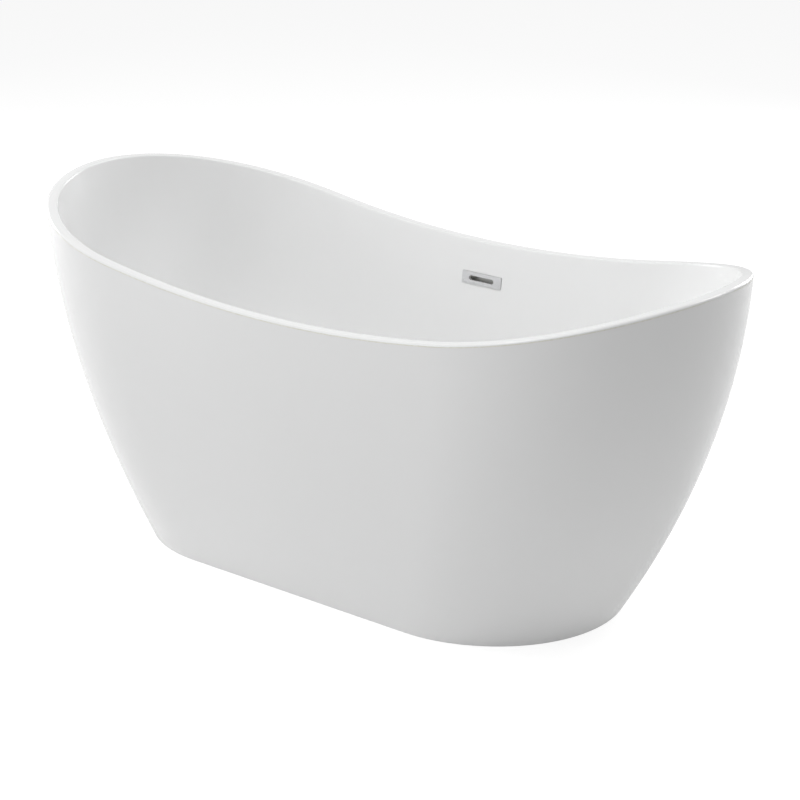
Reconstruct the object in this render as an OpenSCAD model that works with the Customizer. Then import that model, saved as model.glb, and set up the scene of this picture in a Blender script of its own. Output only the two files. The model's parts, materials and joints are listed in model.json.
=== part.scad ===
// Freestanding double-ended bathtub, built as an assembly.
// X runs along the tub, +Y points to the side that carries the overflow, +Z is up.
// The origin is on the floor, below the centre of the drain.

/* [Tub outside] */
// Length over the rim
tub_length = 1500; // [1440:10:1800]
// Width over the rim at mid-length
tub_width = 680; // [660:10:820]
// Height of the rim at the two raised ends
end_height = 675; // [640:5:760]
// Height of the rim at mid-length
middle_height = 565; // [550:5:620]
// Length of the base on the floor
base_length = 1040; // [1000:10:1200]
// Width of the base on the floor
base_width = 500; // [470:10:600]
// Length of the straight part of each long side, at the rim
rim_straight = 780; // [650:10:900]
// Length of the straight part of each long side, at the base
base_straight = 530; // [430:10:640]
// How far the end walls belly out, as a share of a straight slope
end_bulge = 0.85; // [0.6:0.05:0.95]
// How far the side walls belly out, as a share of a straight slope
side_bulge = 0.55; // [0.5:0.05:0.8]

/* [Shell walls] */
// Width of the flat rim
rim_width = 22; // [20:1:30]
// Thickness of the rim flange
rim_thickness = 6; // [5:0.5:8]
// Rounding of the rim's edges
rim_radius = 4; // [2:0.5:4.5]
// Wall of the inner basin
basin_wall = 5; // [4:0.5:6]
// Wall of the outer skirt
skirt_wall = 4; // [3:0.5:5]
// Width of the flange that turns in under the skirt
flange_width = 35; // [30:1:42]
// Thickness of that flange
flange_thickness = 5; // [4:0.5:7]

/* [Basin] */
// Length of the basin's floor
floor_length = 880; // [800:10:960]
// Width of the basin's floor
floor_width = 330; // [290:5:360]
// Height of the basin's floor at the drain
floor_height = 130; // [128:1:160]
// Rise of the floor from the drain to its edge
floor_fall = 4; // [2:0.5:8]

/* [Drain] */
// Hole in the basin for the drain flange
drain_hole_d = 50; // [48:0.5:54]
// Depth of the moulded seat round that hole
drain_seat_depth = 3; // [2.5:0.5:4]
// Outside diameter of the drain flange
drain_flange_d = 71; // [66:1:80]
// Outside diameter of the flange's threaded barrel
barrel_d = 47; // [44:0.5:47]
// Bore of the threaded barrel
barrel_bore_d = 40; // [36:0.5:41]
// Length of the threaded barrel below the flange
barrel_length = 44; // [42:1:50]
// Diameter of the stopper cap
stopper_d = 62; // [56:1:66]
// How far the stopper travels between closed and open
stopper_travel = 10; // [7:0.5:11]
// Outside diameter of the tailpiece
tail_d = 38.1; // [32:0.1:40]

/* [Overflow] */
// Height of the middle of the overflow
overflow_height = 490; // [470:5:500]
// Length of the overflow plate
plate_length = 96; // [90:1:116]
// Height of the overflow plate
plate_height = 24; // [22:1:29]
// Thickness of the overflow plate
plate_thickness = 3.2; // [3.2:0.2:5]
// Length of the slot in the plate
slot_length = 60; // [50:1:64]
// Height of the slot in the plate
slot_height = 9; // [8:0.5:11]
// Depth of the flat duct behind the wall
duct_depth = 10.5; // [9:0.5:11.5]
// Outside diameter of the overflow hose
hose_d = 20; // [18:0.5:22]
// Bore of the overflow hose
hose_bore_d = 16.4; // [14:0.2:17]

/* [Frame and feet] */
// Outside of the square frame tube
tube_size = 30; // [25:1:36]
// Wall of the frame tube
tube_wall = 2; // [1.5:0.5:3]
// Thickness of the board under the basin
board_thickness = 15; // [12:1:18]
// Distance of the two long rails' centres from the middle
rail_y = 105; // [95:1:115]
// Distance of the inner cross members from the middle
inner_member_x = 150; // [110:5:220]
// Distance of the feet and end cross members from the middle
foot_x = 380; // [330:5:400]
// Diameter of the levelling studs
stud_d = 12; // [10:1:14]
// Diameter of the foot pads
pad_d = 50; // [40:1:56]
// How far the feet can be wound out
foot_travel = 20; // [12:1:24]
// Pitch of the stud's thread
stud_pitch = 1.75; // [1.5:0.25:2]

/* [Hidden] */

$fn = 64;
eps = 0.01;                 // overshoot of a cut
fit_gap = 0.05;             // radial gap of a running or threaded fit
loose_gap = 0.3;            // gap between pieces that pass each other
screw_gap = 0.15;           // radial gap round a screw's shank

// Steps of the outlines: round the end, along the straight, and up the walls
curve_steps = 12;
straight_steps = 4;
quarter_steps = curve_steps + straight_steps;
wall_steps = 12;
side = quarter_steps;       // the outline's point at mid-length, on the overflow side

// Roundness of the outlines, along the end and along the side
rim_roundness = [0.45, 0.69];
base_roundness = [0.6, 0.5];

// Steering points of the basin's wall: across the tub or along it, and upwards
side_lean = [0.5, 0.8];
end_lean = [0.42, 0.8];
wall_rise = [0, 0.45];

// ---- Outlines and surfaces ----

function bezier(t, a, b, c, d) =
    a * pow(1 - t, 3) + 3 * b * t * pow(1 - t, 2) + 3 * c * t * t * (1 - t) + d * pow(t, 3);

// A quarter of an outline: a cubic curve round the end, then the straight side
function quarter_point(i, half_l, half_w, half_s, roundness) =
    i <= curve_steps
    ? bezier(i / curve_steps, [half_l, 0], [half_l, roundness[0] * half_w],
        [half_s + roundness[1] * (half_l - half_s), half_w], [half_s, half_w])
    : [half_s * (quarter_steps - i) / straight_steps, half_w];

// The whole outline, anticlockwise from +X
function outline(l, w, straight, roundness) = [
    for (quarter = [0:3], j = [0:quarter_steps - 1])
        let (p = quarter_point(quarter % 2 == 0 ? j : quarter_steps - j,
            l / 2, w / 2, straight / 2, roundness))
            [(quarter == 1 || quarter == 2 ? -1 : 1) * p.x, (quarter >= 2 ? -1 : 1) * p.y]];

// An outline or a ring moved inwards in plan
function inset(ring, distance) = [
    for (i = [0:len(ring) - 1])
        let (n = len(ring), next = ring[(i + 1) % n], last = ring[(i + n - 1) % n],
            along = [next.x - last.x, next.y - last.y], u = along / norm(along),
            p = [ring[i].x - distance * u.y, ring[i].y + distance * u.x])
            len(ring[i]) == 3 ? [p.x, p.y, ring[i].z] : p];

rim_line = outline(tub_length, tub_width, rim_straight, rim_roundness);
base_line = outline(base_length, base_width, base_straight, base_roundness);
floor_line = outline(floor_length, floor_width, floor_length / 2, base_roundness);
inner_rim_line = inset(rim_line, rim_width);
back_rim_line = inset(rim_line, rim_width - basin_wall);
points_round = [0:len(rim_line) - 1];

// The rim sweeps up from the middle to both ends
function rim_height(i) =
    middle_height + (end_height - middle_height) * pow(rim_line[i].x / (tub_length / 2), 2);

function bulge(t, k) = t + k * t * (1 - t);

// Point of the tub's outside above outline point i
function outside_point(i, z) =
    let (t = z / rim_height(i))
    [base_line[i].x + (rim_line[i].x - base_line[i].x) * bulge(t, end_bulge),
        base_line[i].y + (rim_line[i].y - base_line[i].y) * bulge(t, side_bulge), z];

// Point of the basin's wall above outline point i, from the floor (0) to the rim (1)
function wall_point(i, s, foot, foot_z, top, top_z) = [
    foot[i].x + (top[i].x - foot[i].x) * bezier(s, 0, end_lean[0], end_lean[1], 1),
    foot[i].y + (top[i].y - foot[i].y) * bezier(s, 0, side_lean[0], side_lean[1], 1),
    foot_z + (top_z - foot_z) * bezier(s, 0, wall_rise[0], wall_rise[1], 1)];
function inside_point(i, s) =
    wall_point(i, s, floor_line, floor_height + floor_fall,
        inner_rim_line, rim_height(i) - rim_radius);
function back_point(i, s) =
    wall_point(i, s, floor_line, floor_height - basin_wall,
        back_rim_line, rim_height(i) - rim_thickness);

// Width in plan of the tub's outside at a distance along it, at floor level
function base_half_width(x, i = 0) =
    base_line[i + 1].x <= x
    ? let (a = base_line[i], b = base_line[i + 1]) a.y + (b.y - a.y) * (a.x - x) / (a.x - b.x)
    : base_half_width(x, i + 1);

// A closed solid through a stack of rings. Looped, the last ring joins the first;
// otherwise both ends are closed flat. Crossed picks the other diagonal of each face,
// so that two solids that meet along the same two rings share their triangles.
module ring_solid(rings, looped, crossed = false) {
    n = len(rings[0]);
    last = len(rings) - (looped ? 1 : 2);
    points = [for (ring = rings, p = ring) p];
    sides = [
        for (r = [0:last], i = [0:n - 1])
            let (a = r * n, b = ((r + 1) % len(rings)) * n, j = (i + 1) % n)
                each crossed
                    ? [[a + i, b + i, a + j], [a + j, b + i, b + j]]
                    : [[a + i, b + i, b + j], [a + i, b + j, a + j]]];
    top = (len(rings) - 1) * n;
    caps = looped ? [] : [[for (i = [0:n - 1]) i], [for (i = [n - 1:-1:0]) top + i]];
    polyhedron(points, concat(sides, caps), convexity = 6);
}

// ---- Heights, worked out downwards from the basin's floor ----

seat_z = floor_height - drain_seat_depth;
underside_z = floor_height - basin_wall;
board_z = underside_z - board_thickness;
tube_z = board_z - tube_size;

// ---- Shells ----

gasket_d = drain_flange_d + 1;
seat_margin = 1.5;
level_margin = 12;              // the floor is level this far round the drain's seat
seat_d = gasket_d + 2 * seat_margin;
level_r = seat_d / 2 + level_margin;

// Rounded edge of the rim: inset and drop of three points from its side to its top
rim_round = [for (angle = [0, 45, 90])
    [rim_radius * (1 - cos(angle)), rim_radius * (1 - sin(angle))]];

function rim_ring(inset_by, drop) =
    inset([for (i = points_round) [rim_line[i].x, rim_line[i].y, rim_height(i) - drop]], inset_by);

// The flange's outer face follows the skirt's slope up to the start of the rounding
function flange_ring(drop) =
    [for (i = points_round) outside_point(i, rim_height(i) - drop)];

module basin_shell() {
    under = [for (p = floor_line) [p.x, p.y, underside_z]];
    back = [for (k = [1:wall_steps]) [for (i = points_round) back_point(i, k / wall_steps)]];
    rim = [
        inset(flange_ring(rim_thickness), skirt_wall),
        flange_ring(rim_thickness),
        flange_ring(rim_radius),
        rim_ring(rim_round[1][0], rim_round[1][1]),
        rim_ring(rim_radius, 0),
        rim_ring(rim_width - rim_radius, 0),
        rim_ring(rim_width - rim_round[1][0], rim_round[1][1])];
    inside = [for (k = [wall_steps:-1:0]) [for (i = points_round) inside_point(i, k / wall_steps)]];
    drain = [for (i = points_round)
        let (angle = atan2(floor_line[i].y, floor_line[i].x))
            [level_r * cos(angle), level_r * sin(angle), floor_height]];
    ring_solid(concat([under], back, rim, inside, [drain]), false, crossed = true);
}

module basin() {
    color("white")
    difference() {
        union() {
            basin_shell();
            at_overflow() wall_pad();
        }
        translate([0, 0, seat_z]) cylinder(d = seat_d, h = drain_seat_depth * 3);
        translate([0, 0, underside_z - eps]) cylinder(d = drain_hole_d, h = basin_wall * 2);
        at_overflow() wall_cuts();
    }
}

module skirt() {
    levels = [0:wall_steps];
    outside = [for (k = levels) [for (i = points_round)
        outside_point(i, k / wall_steps * (rim_height(i) - rim_thickness))]];
    inside = [for (k = levels) inset([for (i = points_round)
        outside_point(i, flange_thickness
            + k / wall_steps * (rim_height(i) - rim_thickness - flange_thickness))], skirt_wall)];
    flange_top = inset([for (i = points_round) outside_point(i, flange_thickness)], flange_width);
    flange_bottom = inset([for (i = points_round) outside_point(i, 0)], flange_width);
    color("white")
    difference() {
        ring_solid(concat(outside, [for (k = [wall_steps:-1:0]) inside[k]],
            [flange_top, flange_bottom]), true);
        at_brackets()
            translate([0, bracket_screw_y, flange_thickness - flange_screw_grip])
            cylinder(d = flange_screw_d, h = flange_thickness);
    }
}

board_inset = 15;
spanner_room = 23;              // room in the board's hole round the drain's nut
board_hole_d = seat_d + 2 * spanner_room;

module base_board() {
    color("burlywood")
    difference() {
        translate([0, 0, board_z])
            linear_extrude(board_thickness) polygon(inset(floor_line, board_inset));
        translate([0, 0, board_z - eps]) cylinder(d = board_hole_d, h = board_thickness + 2 * eps);
        at_board_screws()
            translate([0, 0, board_z - eps]) cylinder(d = board_screw_d, h = board_screw_grip);
    }
}

// ---- Frame ----

flange_slant = 1.2;             // the flange lies askew at the feet, so it reaches further in
foot_room = 15;                 // between a foot pad and the flange
member_overhang = 45;           // of the end members past the feet
foot_y = base_half_width(foot_x) - flange_width * flange_slant - pad_d / 2 - foot_room;
member_half = foot_y + member_overhang;
board_screw_d = 4.5;
board_cover = 4;                // of the board above the ends of its screws
board_screw_grip = board_thickness - board_cover;
board_screw_y = 60;
screw_head_d = 9;
screw_head_h = 2.5;

module square_tube(length) {
    translate([-length / 2, -tube_size / 2, 0])
    rotate([90, 0, 90])
    linear_extrude(length)
    difference() {
        square(tube_size);
        translate([tube_wall, tube_wall]) square(tube_size - 2 * tube_wall);
    }
}

module frame_rail(y) {
    color("gray") translate([0, y, tube_z]) square_tube(2 * foot_x - tube_size);
}

module at_board_screws() {
    for (x = [-foot_x, -inner_member_x, inner_member_x, foot_x], y = [-1, 1])
        translate([x, y * board_screw_y, 0]) children();
}

module board_screw_holes() {
    at_board_screws()
        translate([0, 0, tube_z - eps])
        cylinder(d = board_screw_d + 2 * screw_gap, h = tube_size + 2 * eps);
}

module end_member(x) {
    color("gray")
    difference() {
        translate([x, 0, tube_z]) rotate([0, 0, 90]) square_tube(2 * member_half);
        board_screw_holes();
        at_feet()
            translate([0, 0, tube_z - eps])
            cylinder(d = stud_d + 2 * loose_gap, h = tube_size + 2 * eps);
        at_brackets()
            translate([0, bracket_tube_screw_y, tube_z - eps])
            cylinder(d = tube_screw_d, h = tube_wall + 2 * eps);
    }
}

module inner_member(x) {
    color("gray")
    difference() {
        translate([x, 0, tube_z]) rotate([0, 0, 90]) square_tube(2 * rail_y - tube_size);
        board_screw_holes();
    }
}

module board_screws() {
    color("silver")
    at_board_screws() {
        translate([0, 0, tube_z - screw_head_h]) cylinder(d = screw_head_d, h = screw_head_h);
        translate([0, 0, tube_z - eps])
            cylinder(d = board_screw_d, h = tube_size + board_screw_grip);
    }
}

// ---- Brackets between the frame and the skirt's flange ----

bracket_metal = 3;
bracket_width = 26;
bracket_web_y = member_half - bracket_metal;
bracket_reach = 21;
bracket_tab = 24;
bracket_screw_y = member_half + bracket_reach / 2;
bracket_tube_screw_y = bracket_web_y - bracket_tab / 2;
tube_screw_d = 4.2;
tube_screw_grip = 6;
flange_screw_d = 4;
flange_screw_grip = 3.5;

// Places a bracket drawn at x = 0 on the +Y side under each end of both end members
module at_brackets() {
    for (x = [-foot_x, foot_x], m = [0, 1])
        translate([x, 0, 0]) mirror([0, m, 0]) children();
}

module skirt_brackets() {
    color("silver")
    at_brackets()
    difference() {
        translate([-bracket_width / 2, 0, 0])
        rotate([90, 0, 90])
        linear_extrude(bracket_width)
        polygon([
            [bracket_web_y, flange_thickness],
            [member_half + bracket_reach, flange_thickness],
            [member_half + bracket_reach, flange_thickness + bracket_metal],
            [member_half, flange_thickness + bracket_metal],
            [member_half, tube_z],
            [bracket_web_y - bracket_tab, tube_z],
            [bracket_web_y - bracket_tab, tube_z - bracket_metal],
            [bracket_web_y, tube_z - bracket_metal]]);
        translate([0, bracket_screw_y, 0]) cylinder(d = flange_screw_d + 2 * screw_gap, h = tube_z);
        translate([0, bracket_tube_screw_y, tube_z - bracket_metal - eps])
            cylinder(d = tube_screw_d + 2 * screw_gap, h = bracket_metal + 2 * eps);
    }
}

module bracket_tube_screws() {
    color("silver")
    at_brackets()
    translate([0, bracket_tube_screw_y, tube_z - bracket_metal]) {
        translate([0, 0, -screw_head_h]) cylinder(d = screw_head_d, h = screw_head_h);
        translate([0, 0, -eps]) cylinder(d = tube_screw_d, h = bracket_metal + tube_screw_grip);
    }
}

module bracket_flange_screws() {
    color("silver")
    at_brackets()
    translate([0, bracket_screw_y, flange_thickness + bracket_metal]) {
        cylinder(d = screw_head_d, h = screw_head_h);
        translate([0, 0, -bracket_metal - flange_screw_grip])
            cylinder(d = flange_screw_d, h = bracket_metal + flange_screw_grip + eps);
    }
}

// ---- Levelling feet, drawn wound right in ----

nut_size = 1.9;                 // a nut across its corners, in stud diameters
stud_hex_size = 1.6;            // the stud's hexagon likewise
weld_nut_h = 10;
weld_nut_d = stud_d * nut_size;
lock_nut_h = 7;
pad_base_h = 9;
pad_shoulder = 2;
pad_edge = 1;
pad_chamfer = 3;
pad_hub_h = 20;
pad_hub_wall = 6;
pad_hub_d = stud_d + 2 * pad_hub_wall;
stud_socket_z = 8;
stud_hex_d = stud_d * stud_hex_size;
stud_hex_h = 8;
stud_end_gap = 4;               // below the board
stud_top_z = board_z - stud_end_gap;
foot_places = [[1, 1], [-1, 1], [-1, -1], [1, -1]];

module at_foot(n) {
    translate([foot_places[n - 1].x * foot_x, foot_places[n - 1].y * foot_y, 0]) children();
}

module at_feet() {
    for (n = [1:4]) at_foot(n) children();
}

module threaded_nut(across_corners, bore, height) {
    difference() {
        cylinder(d = across_corners, h = height, $fn = 6);
        translate([0, 0, -eps]) cylinder(d = bore, h = height + 2 * eps);
    }
}

module foot_weld_nuts() {
    color("silver")
    at_feet()
        translate([0, 0, tube_z - weld_nut_h])
        threaded_nut(weld_nut_d, stud_d + 2 * fit_gap, weld_nut_h);
}

module foot_lock_nuts() {
    color("silver")
    at_feet()
        translate([0, 0, tube_z - weld_nut_h - lock_nut_h])
        threaded_nut(weld_nut_d, stud_d + 2 * fit_gap, lock_nut_h);
}

module foot_stud(n) {
    color("silver")
    at_foot(n) {
        translate([0, 0, stud_socket_z]) cylinder(d = stud_d, h = stud_top_z - stud_socket_z);
        translate([0, 0, pad_hub_h + loose_gap]) cylinder(d = stud_hex_d, h = stud_hex_h, $fn = 6);
    }
}

module foot_pad(n) {
    color("dimgray")
    at_foot(n)
    difference() {
        rotate_extrude()
            polygon([[0, 0], [pad_d / 2 - pad_edge, 0], [pad_d / 2, pad_edge],
                [pad_d / 2, pad_base_h - pad_chamfer], [pad_d / 2 - pad_chamfer, pad_base_h],
                [pad_hub_d / 2, pad_base_h + pad_shoulder], [pad_hub_d / 2, pad_hub_h],
                [0, pad_hub_h]]);
        translate([0, 0, stud_socket_z - loose_gap])
            cylinder(d = stud_d + 2 * fit_gap, h = pad_hub_h);
    }
}

// ---- Drain and waste ----

gasket_t = 1.2;
flange_z = seat_z + gasket_t;
flange_t = 3.5;
flange_top_z = flange_z + flange_t;
barrel_z = flange_z - barrel_length;
under_gasket_t = 5;
slip_washer_t = 1.5;
washer_inset = 1;               // of the slip washer's edge from the gasket's
drain_nut_h = 10;
drain_nut_d = drain_flange_d + 10;
nut_z = underside_z - under_gasket_t - slip_washer_t - drain_nut_h;
crossbar_z = barrel_z + 4;
crossbar_h = 6;
crossbar_t = 3;
hub_d = 15;
cartridge_stud_d = 8;

module tube(outer_d, bore_d, height) {
    difference() {
        cylinder(d = outer_d, h = height);
        translate([0, 0, -eps]) cylinder(d = bore_d, h = height + 2 * eps);
    }
}

module drain_flange() {
    seat_slope = 2;
    rim_edge = 1;
    rim_slope = 3;
    color("gainsboro")
    difference() {
        union() {
            rotate_extrude()
                polygon([[barrel_bore_d / 2, barrel_z], [barrel_d / 2, barrel_z],
                    [barrel_d / 2, flange_z], [drain_flange_d / 2, flange_z],
                    [drain_flange_d / 2, flange_z + rim_edge],
                    [drain_flange_d / 2 - rim_slope, flange_top_z],
                    [barrel_bore_d / 2 + seat_slope, flange_top_z],
                    [barrel_bore_d / 2, flange_top_z - seat_slope]]);
            translate([0, 0, crossbar_z]) cylinder(d = hub_d, h = crossbar_h);
            for (angle = [0, 60, 120])
                rotate([0, 0, angle])
                translate([-barrel_bore_d / 2 - eps, -crossbar_t / 2, crossbar_z])
                cube([barrel_bore_d + 2 * eps, crossbar_t, crossbar_h]);
        }
        translate([0, 0, crossbar_z - eps])
            cylinder(d = cartridge_stud_d + 2 * fit_gap, h = crossbar_h + 2 * eps);
    }
}

module drain_flange_gasket() {
    color("black")
        translate([0, 0, seat_z]) tube(gasket_d, barrel_d + 2 * loose_gap, gasket_t);
}

module drain_under_gasket() {
    color("black")
        translate([0, 0, underside_z - under_gasket_t])
        tube(gasket_d, barrel_d + 2 * loose_gap, under_gasket_t);
}

module drain_slip_washer() {
    color("tan")
        translate([0, 0, underside_z - under_gasket_t - slip_washer_t])
        tube(gasket_d - 2 * washer_inset, barrel_d + 2 * loose_gap, slip_washer_t);
}

module drain_nut() {
    color("gainsboro")
        translate([0, 0, nut_z])
        threaded_nut(drain_nut_d, barrel_d + 2 * fit_gap, drain_nut_h);
}

// The tee screws on to the barrel and stops against a seal at the barrel's end
tee_wall = 4;
tee_d = barrel_d + 2 * tee_wall;
tee_gap = 3;                // between the tee and the drain's nut
tee_top_z = nut_z - tee_gap;
tee_seal_t = 2.5;
tee_ledge_z = barrel_z - tee_seal_t;
tee_ledge = 2;
tee_bore_d = barrel_bore_d - 2 * tee_ledge;
port_drop = 28;             // of the hose port's middle below the barrel's end
port_to_bottom = 28;
hose_port_z = barrel_z - port_drop;
tee_thread_d = tail_d + 2 * tee_wall;
tee_bottom_z = hose_port_z - port_to_bottom;
hose_slack = 0.2;           // radial gap of the hose on its spigots
port_boss_wall = 3;
port_boss_reach = 8;
port_boss_d = hose_d + 2 * port_boss_wall;
port_boss_y = tee_d / 2 + port_boss_reach;
spigot_wall = 1.5;
spigot_d = hose_bore_d - 2 * hose_slack;
spigot_bore_d = spigot_d - 2 * spigot_wall;
spigot_length = 22;

module waste_tee() {
    port_shoulder = 2;
    shoulder_z = hose_port_z - port_boss_d / 2 - port_shoulder;
    color("gainsboro")
    difference() {
        union() {
            translate([0, 0, shoulder_z]) cylinder(d = tee_d, h = tee_top_z - shoulder_z);
            translate([0, 0, tee_bottom_z])
                cylinder(d = tee_thread_d, h = shoulder_z - tee_bottom_z + eps);
            translate([0, 0, hose_port_z]) rotate([-90, 0, 0]) {
                cylinder(d = port_boss_d, h = port_boss_y);
                cylinder(d = spigot_d, h = port_boss_y + spigot_length);
            }
        }
        translate([0, 0, tee_ledge_z]) cylinder(d = barrel_d + 2 * fit_gap, h = barrel_length);
        translate([0, 0, tee_bottom_z - eps])
            cylinder(d = tee_bore_d, h = tee_ledge_z - tee_bottom_z + 2 * eps);
        translate([0, 0, hose_port_z]) rotate([-90, 0, 0])
            cylinder(d = spigot_bore_d, h = port_boss_y + spigot_length + eps);
    }
}

module waste_tee_seal() {
    color("black")
        translate([0, 0, tee_ledge_z]) tube(barrel_d, barrel_bore_d, tee_seal_t);
}

tail_wall = 1.5;
tail_neck = 0.3;            // depth of the neck under the lip, where the nut sits
tail_lip = 3;
tail_bore_d = tail_d - 2 * tail_wall;
tail_lip_d = tail_d + 2 * tail_lip;
tail_lip_t = 2.5;
tail_washer_t = 2;
tail_end_z = 4;
tail_lip_z = tee_bottom_z - tail_washer_t - tail_lip_t;
tail_nut_floor = 4;
tail_nut_z = tail_lip_z - tail_nut_floor;
tail_nut_h = 20;
tail_nut_wall = 5;
tail_nut_d = tee_thread_d + 2 * tail_nut_wall;
tail_nut_ribs = 12;
tail_rib = [2, 4];          // height and width of the nut's grip ribs

module tailpiece() {
    nut_clearance = 0.5;
    neck_z = tail_nut_z - nut_clearance;
    color("gainsboro")
    difference() {
        union() {
            translate([0, 0, tail_end_z]) cylinder(d = tail_d, h = neck_z - tail_end_z);
            translate([0, 0, neck_z - eps])
                cylinder(d = tail_d - 2 * tail_neck, h = tail_lip_z - neck_z + 2 * eps);
            translate([0, 0, tail_lip_z]) cylinder(d = tail_lip_d, h = tail_lip_t);
        }
        translate([0, 0, tail_end_z - eps]) cylinder(d = tail_bore_d, h = tail_lip_z);
    }
}

module tail_washer() {
    color("black")
        translate([0, 0, tail_lip_z + tail_lip_t]) tube(tail_lip_d, tail_bore_d, tail_washer_t);
}

module tail_nut() {
    color("gainsboro")
    difference() {
        translate([0, 0, tail_nut_z]) {
            cylinder(d = tail_nut_d, h = tail_nut_h);
            for (k = [0:tail_nut_ribs - 1])
                rotate([0, 0, k * 360 / tail_nut_ribs])
                translate([0, -tail_rib[1] / 2, 0])
                cube([tail_nut_d / 2 + tail_rib[0], tail_rib[1], tail_nut_h]);
        }
        translate([0, 0, tail_nut_z - eps]) cylinder(d = tail_d + 2 * fit_gap, h = tail_nut_h);
        translate([0, 0, tail_lip_z]) cylinder(d = tee_thread_d + 2 * fit_gap, h = tail_nut_h);
    }
}

// ---- Pop-up stopper, drawn open ----

cartridge_d = 16;
cartridge_bore_d = 12;
cartridge_floor = 4;
cartridge_z = crossbar_z + crossbar_h;
cartridge_drop = 6;         // of the cartridge's mouth below the flange's top
cartridge_top_z = flange_top_z - cartridge_drop;
spring_room = 8;            // length of the spring when the stopper is closed
plunger_z = cartridge_z + cartridge_floor + spring_room + stopper_travel;
seal_z = flange_top_z + loose_gap + stopper_travel;
seal_t = 3;
cap_h = 6.5;
seal_inset = 4;             // of the seal's edge from the cap's
cap_socket = 3;             // depth of the cap's seat on the plunger
cap_z = seal_z + seal_t;
plunger_top_z = cap_z + cap_socket;
spring_wire_d = 1.2;
spring_d = 10.4;
spring_turns = 5;
spring_sides = 8;
spring_steps = 16;

module stopper_barrel() {
    color("white")
    translate([0, 0, cartridge_z])
    difference() {
        union() {
            cylinder(d = cartridge_d, h = cartridge_top_z - cartridge_z);
            translate([0, 0, -crossbar_h]) cylinder(d = cartridge_stud_d, h = crossbar_h + eps);
        }
        translate([0, 0, cartridge_floor]) cylinder(d = cartridge_bore_d, h = cartridge_top_z);
    }
}

// Round wire wound on a cylinder, with flat-cut ends
module stopper_spring() {
    bottom = cartridge_z + cartridge_floor + spring_wire_d / 2 + eps;
    height = plunger_z - spring_wire_d / 2 - eps - bottom;
    coil_r = (spring_d - spring_wire_d) / 2;
    rings = [for (k = [0:spring_turns * spring_steps])
        let (turn = k * 360 / spring_steps, z = bottom + height * k / (spring_turns * spring_steps))
            [for (j = [spring_sides:-1:1])
                let (a = 360 * j / spring_sides, r = coil_r + spring_wire_d / 2 * cos(a))
                    [r * cos(turn), r * sin(turn), z + spring_wire_d / 2 * sin(a)]]];
    color("silver") ring_solid(rings, false);
}

module stopper_plunger() {
    color("white")
        translate([0, 0, plunger_z])
        cylinder(d = cartridge_bore_d - 2 * fit_gap, h = plunger_top_z - plunger_z);
}

module stopper_seal() {
    color("black")
        translate([0, 0, seal_z]) tube(stopper_d - 2 * seal_inset, cartridge_bore_d, seal_t);
}

module stopper_cap() {
    dome = 1.5;
    edge = 2;
    foot = 1;
    color("gainsboro")
    difference() {
        translate([0, 0, cap_z])
        rotate_extrude()
        polygon(concat(
            [[0, 0], [stopper_d / 2 - foot, 0], [stopper_d / 2, foot],
                [stopper_d / 2, cap_h - dome - edge]],
            [for (a = [30, 60, 90])
                [stopper_d / 2 - edge * (1 - cos(a)), cap_h - dome - edge * (1 - sin(a))]],
            [for (t = [0.75, 0.5, 0.25, 0])
                [t * (stopper_d / 2 - edge), cap_h - dome * t * t]]));
        translate([0, 0, cap_z - eps])
            cylinder(d = cartridge_bore_d, h = plunger_top_z - cap_z + eps);
    }
}

// ---- Overflow. Drawn flat: x along the tub, y up the wall, z out of it into the bath ----

// Share of the wall's curve at which the overflow sits, found by halving
function wall_share(z, low = 0, high = 1, rounds = 24) =
    let (middle = (low + high) / 2)
    rounds == 0 ? middle
    : inside_point(side, middle).z > z ? wall_share(z, low, middle, rounds - 1)
    : wall_share(z, middle, high, rounds - 1);

overflow_at = inside_point(side, wall_share(overflow_height));
overflow_run = inside_point(side, wall_share(overflow_height + plate_height / 2))
    - inside_point(side, wall_share(overflow_height - plate_height / 2));
overflow_lean = atan2(overflow_run.y, overflow_run.z);

module at_overflow() {
    translate(overflow_at) rotate([90 - overflow_lean, 0, 0]) children();
}

wall_seat = 2;              // depth of the flat seat cut into the wall
pad_back = basin_wall + 1;  // depth of the flat at the back of the wall
pad_margin = [2, 6];        // of that flat round the plate
pad_corner = 4;
front_gasket_t = 1;
front_gasket_inset = 1;
rear_gasket_t = 1.5;
gasket_corner = 2;
overflow_bracket_t = 1;
plate_z = front_gasket_t - wall_seat;
plate_face_t = 1;
plate_rim = 3;
plate_corner = 1.2;
duct_front = pad_back + rear_gasket_t;
duct_wall = 2;
duct_margin = 5;            // round the plate's height and past the screws
overflow_screw_d = 4;
overflow_screw_x = slot_length / 2 + 8;
screw_boss_wall = 2;
duct_top = plate_height / 2 + duct_margin;
duct_half = overflow_screw_x + duct_margin;
wall_slot = [slot_length + 2, slot_height + 3];

module slab(length, height, corner, thickness) {
    linear_extrude(thickness) rounded(length, height, corner);
}

module rounded(length, height, corner) {
    for (x = [-1, 1], y = [-1, 1])
        translate([x * (length / 2 - corner), y * (height / 2 - corner)]) circle(r = corner);
    square([length - 2 * corner, height], center = true);
    square([length, height - 2 * corner], center = true);
}

module slot_cut(length, height, thickness) {
    translate([0, 0, -eps]) slab(length, height, height / 2 - eps, thickness + 2 * eps);
}

module screw_pair(diameter, low, high) {
    for (x = [-1, 1])
        translate([x * overflow_screw_x, 0, low]) cylinder(d = diameter, h = high - low);
}

module wall_pad() {
    translate([0, 0, -pad_back])
        slab(plate_length + 2 * pad_margin.x, plate_height + 2 * pad_margin.y, pad_corner,
            pad_back - wall_seat - front_gasket_t);
}

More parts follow.
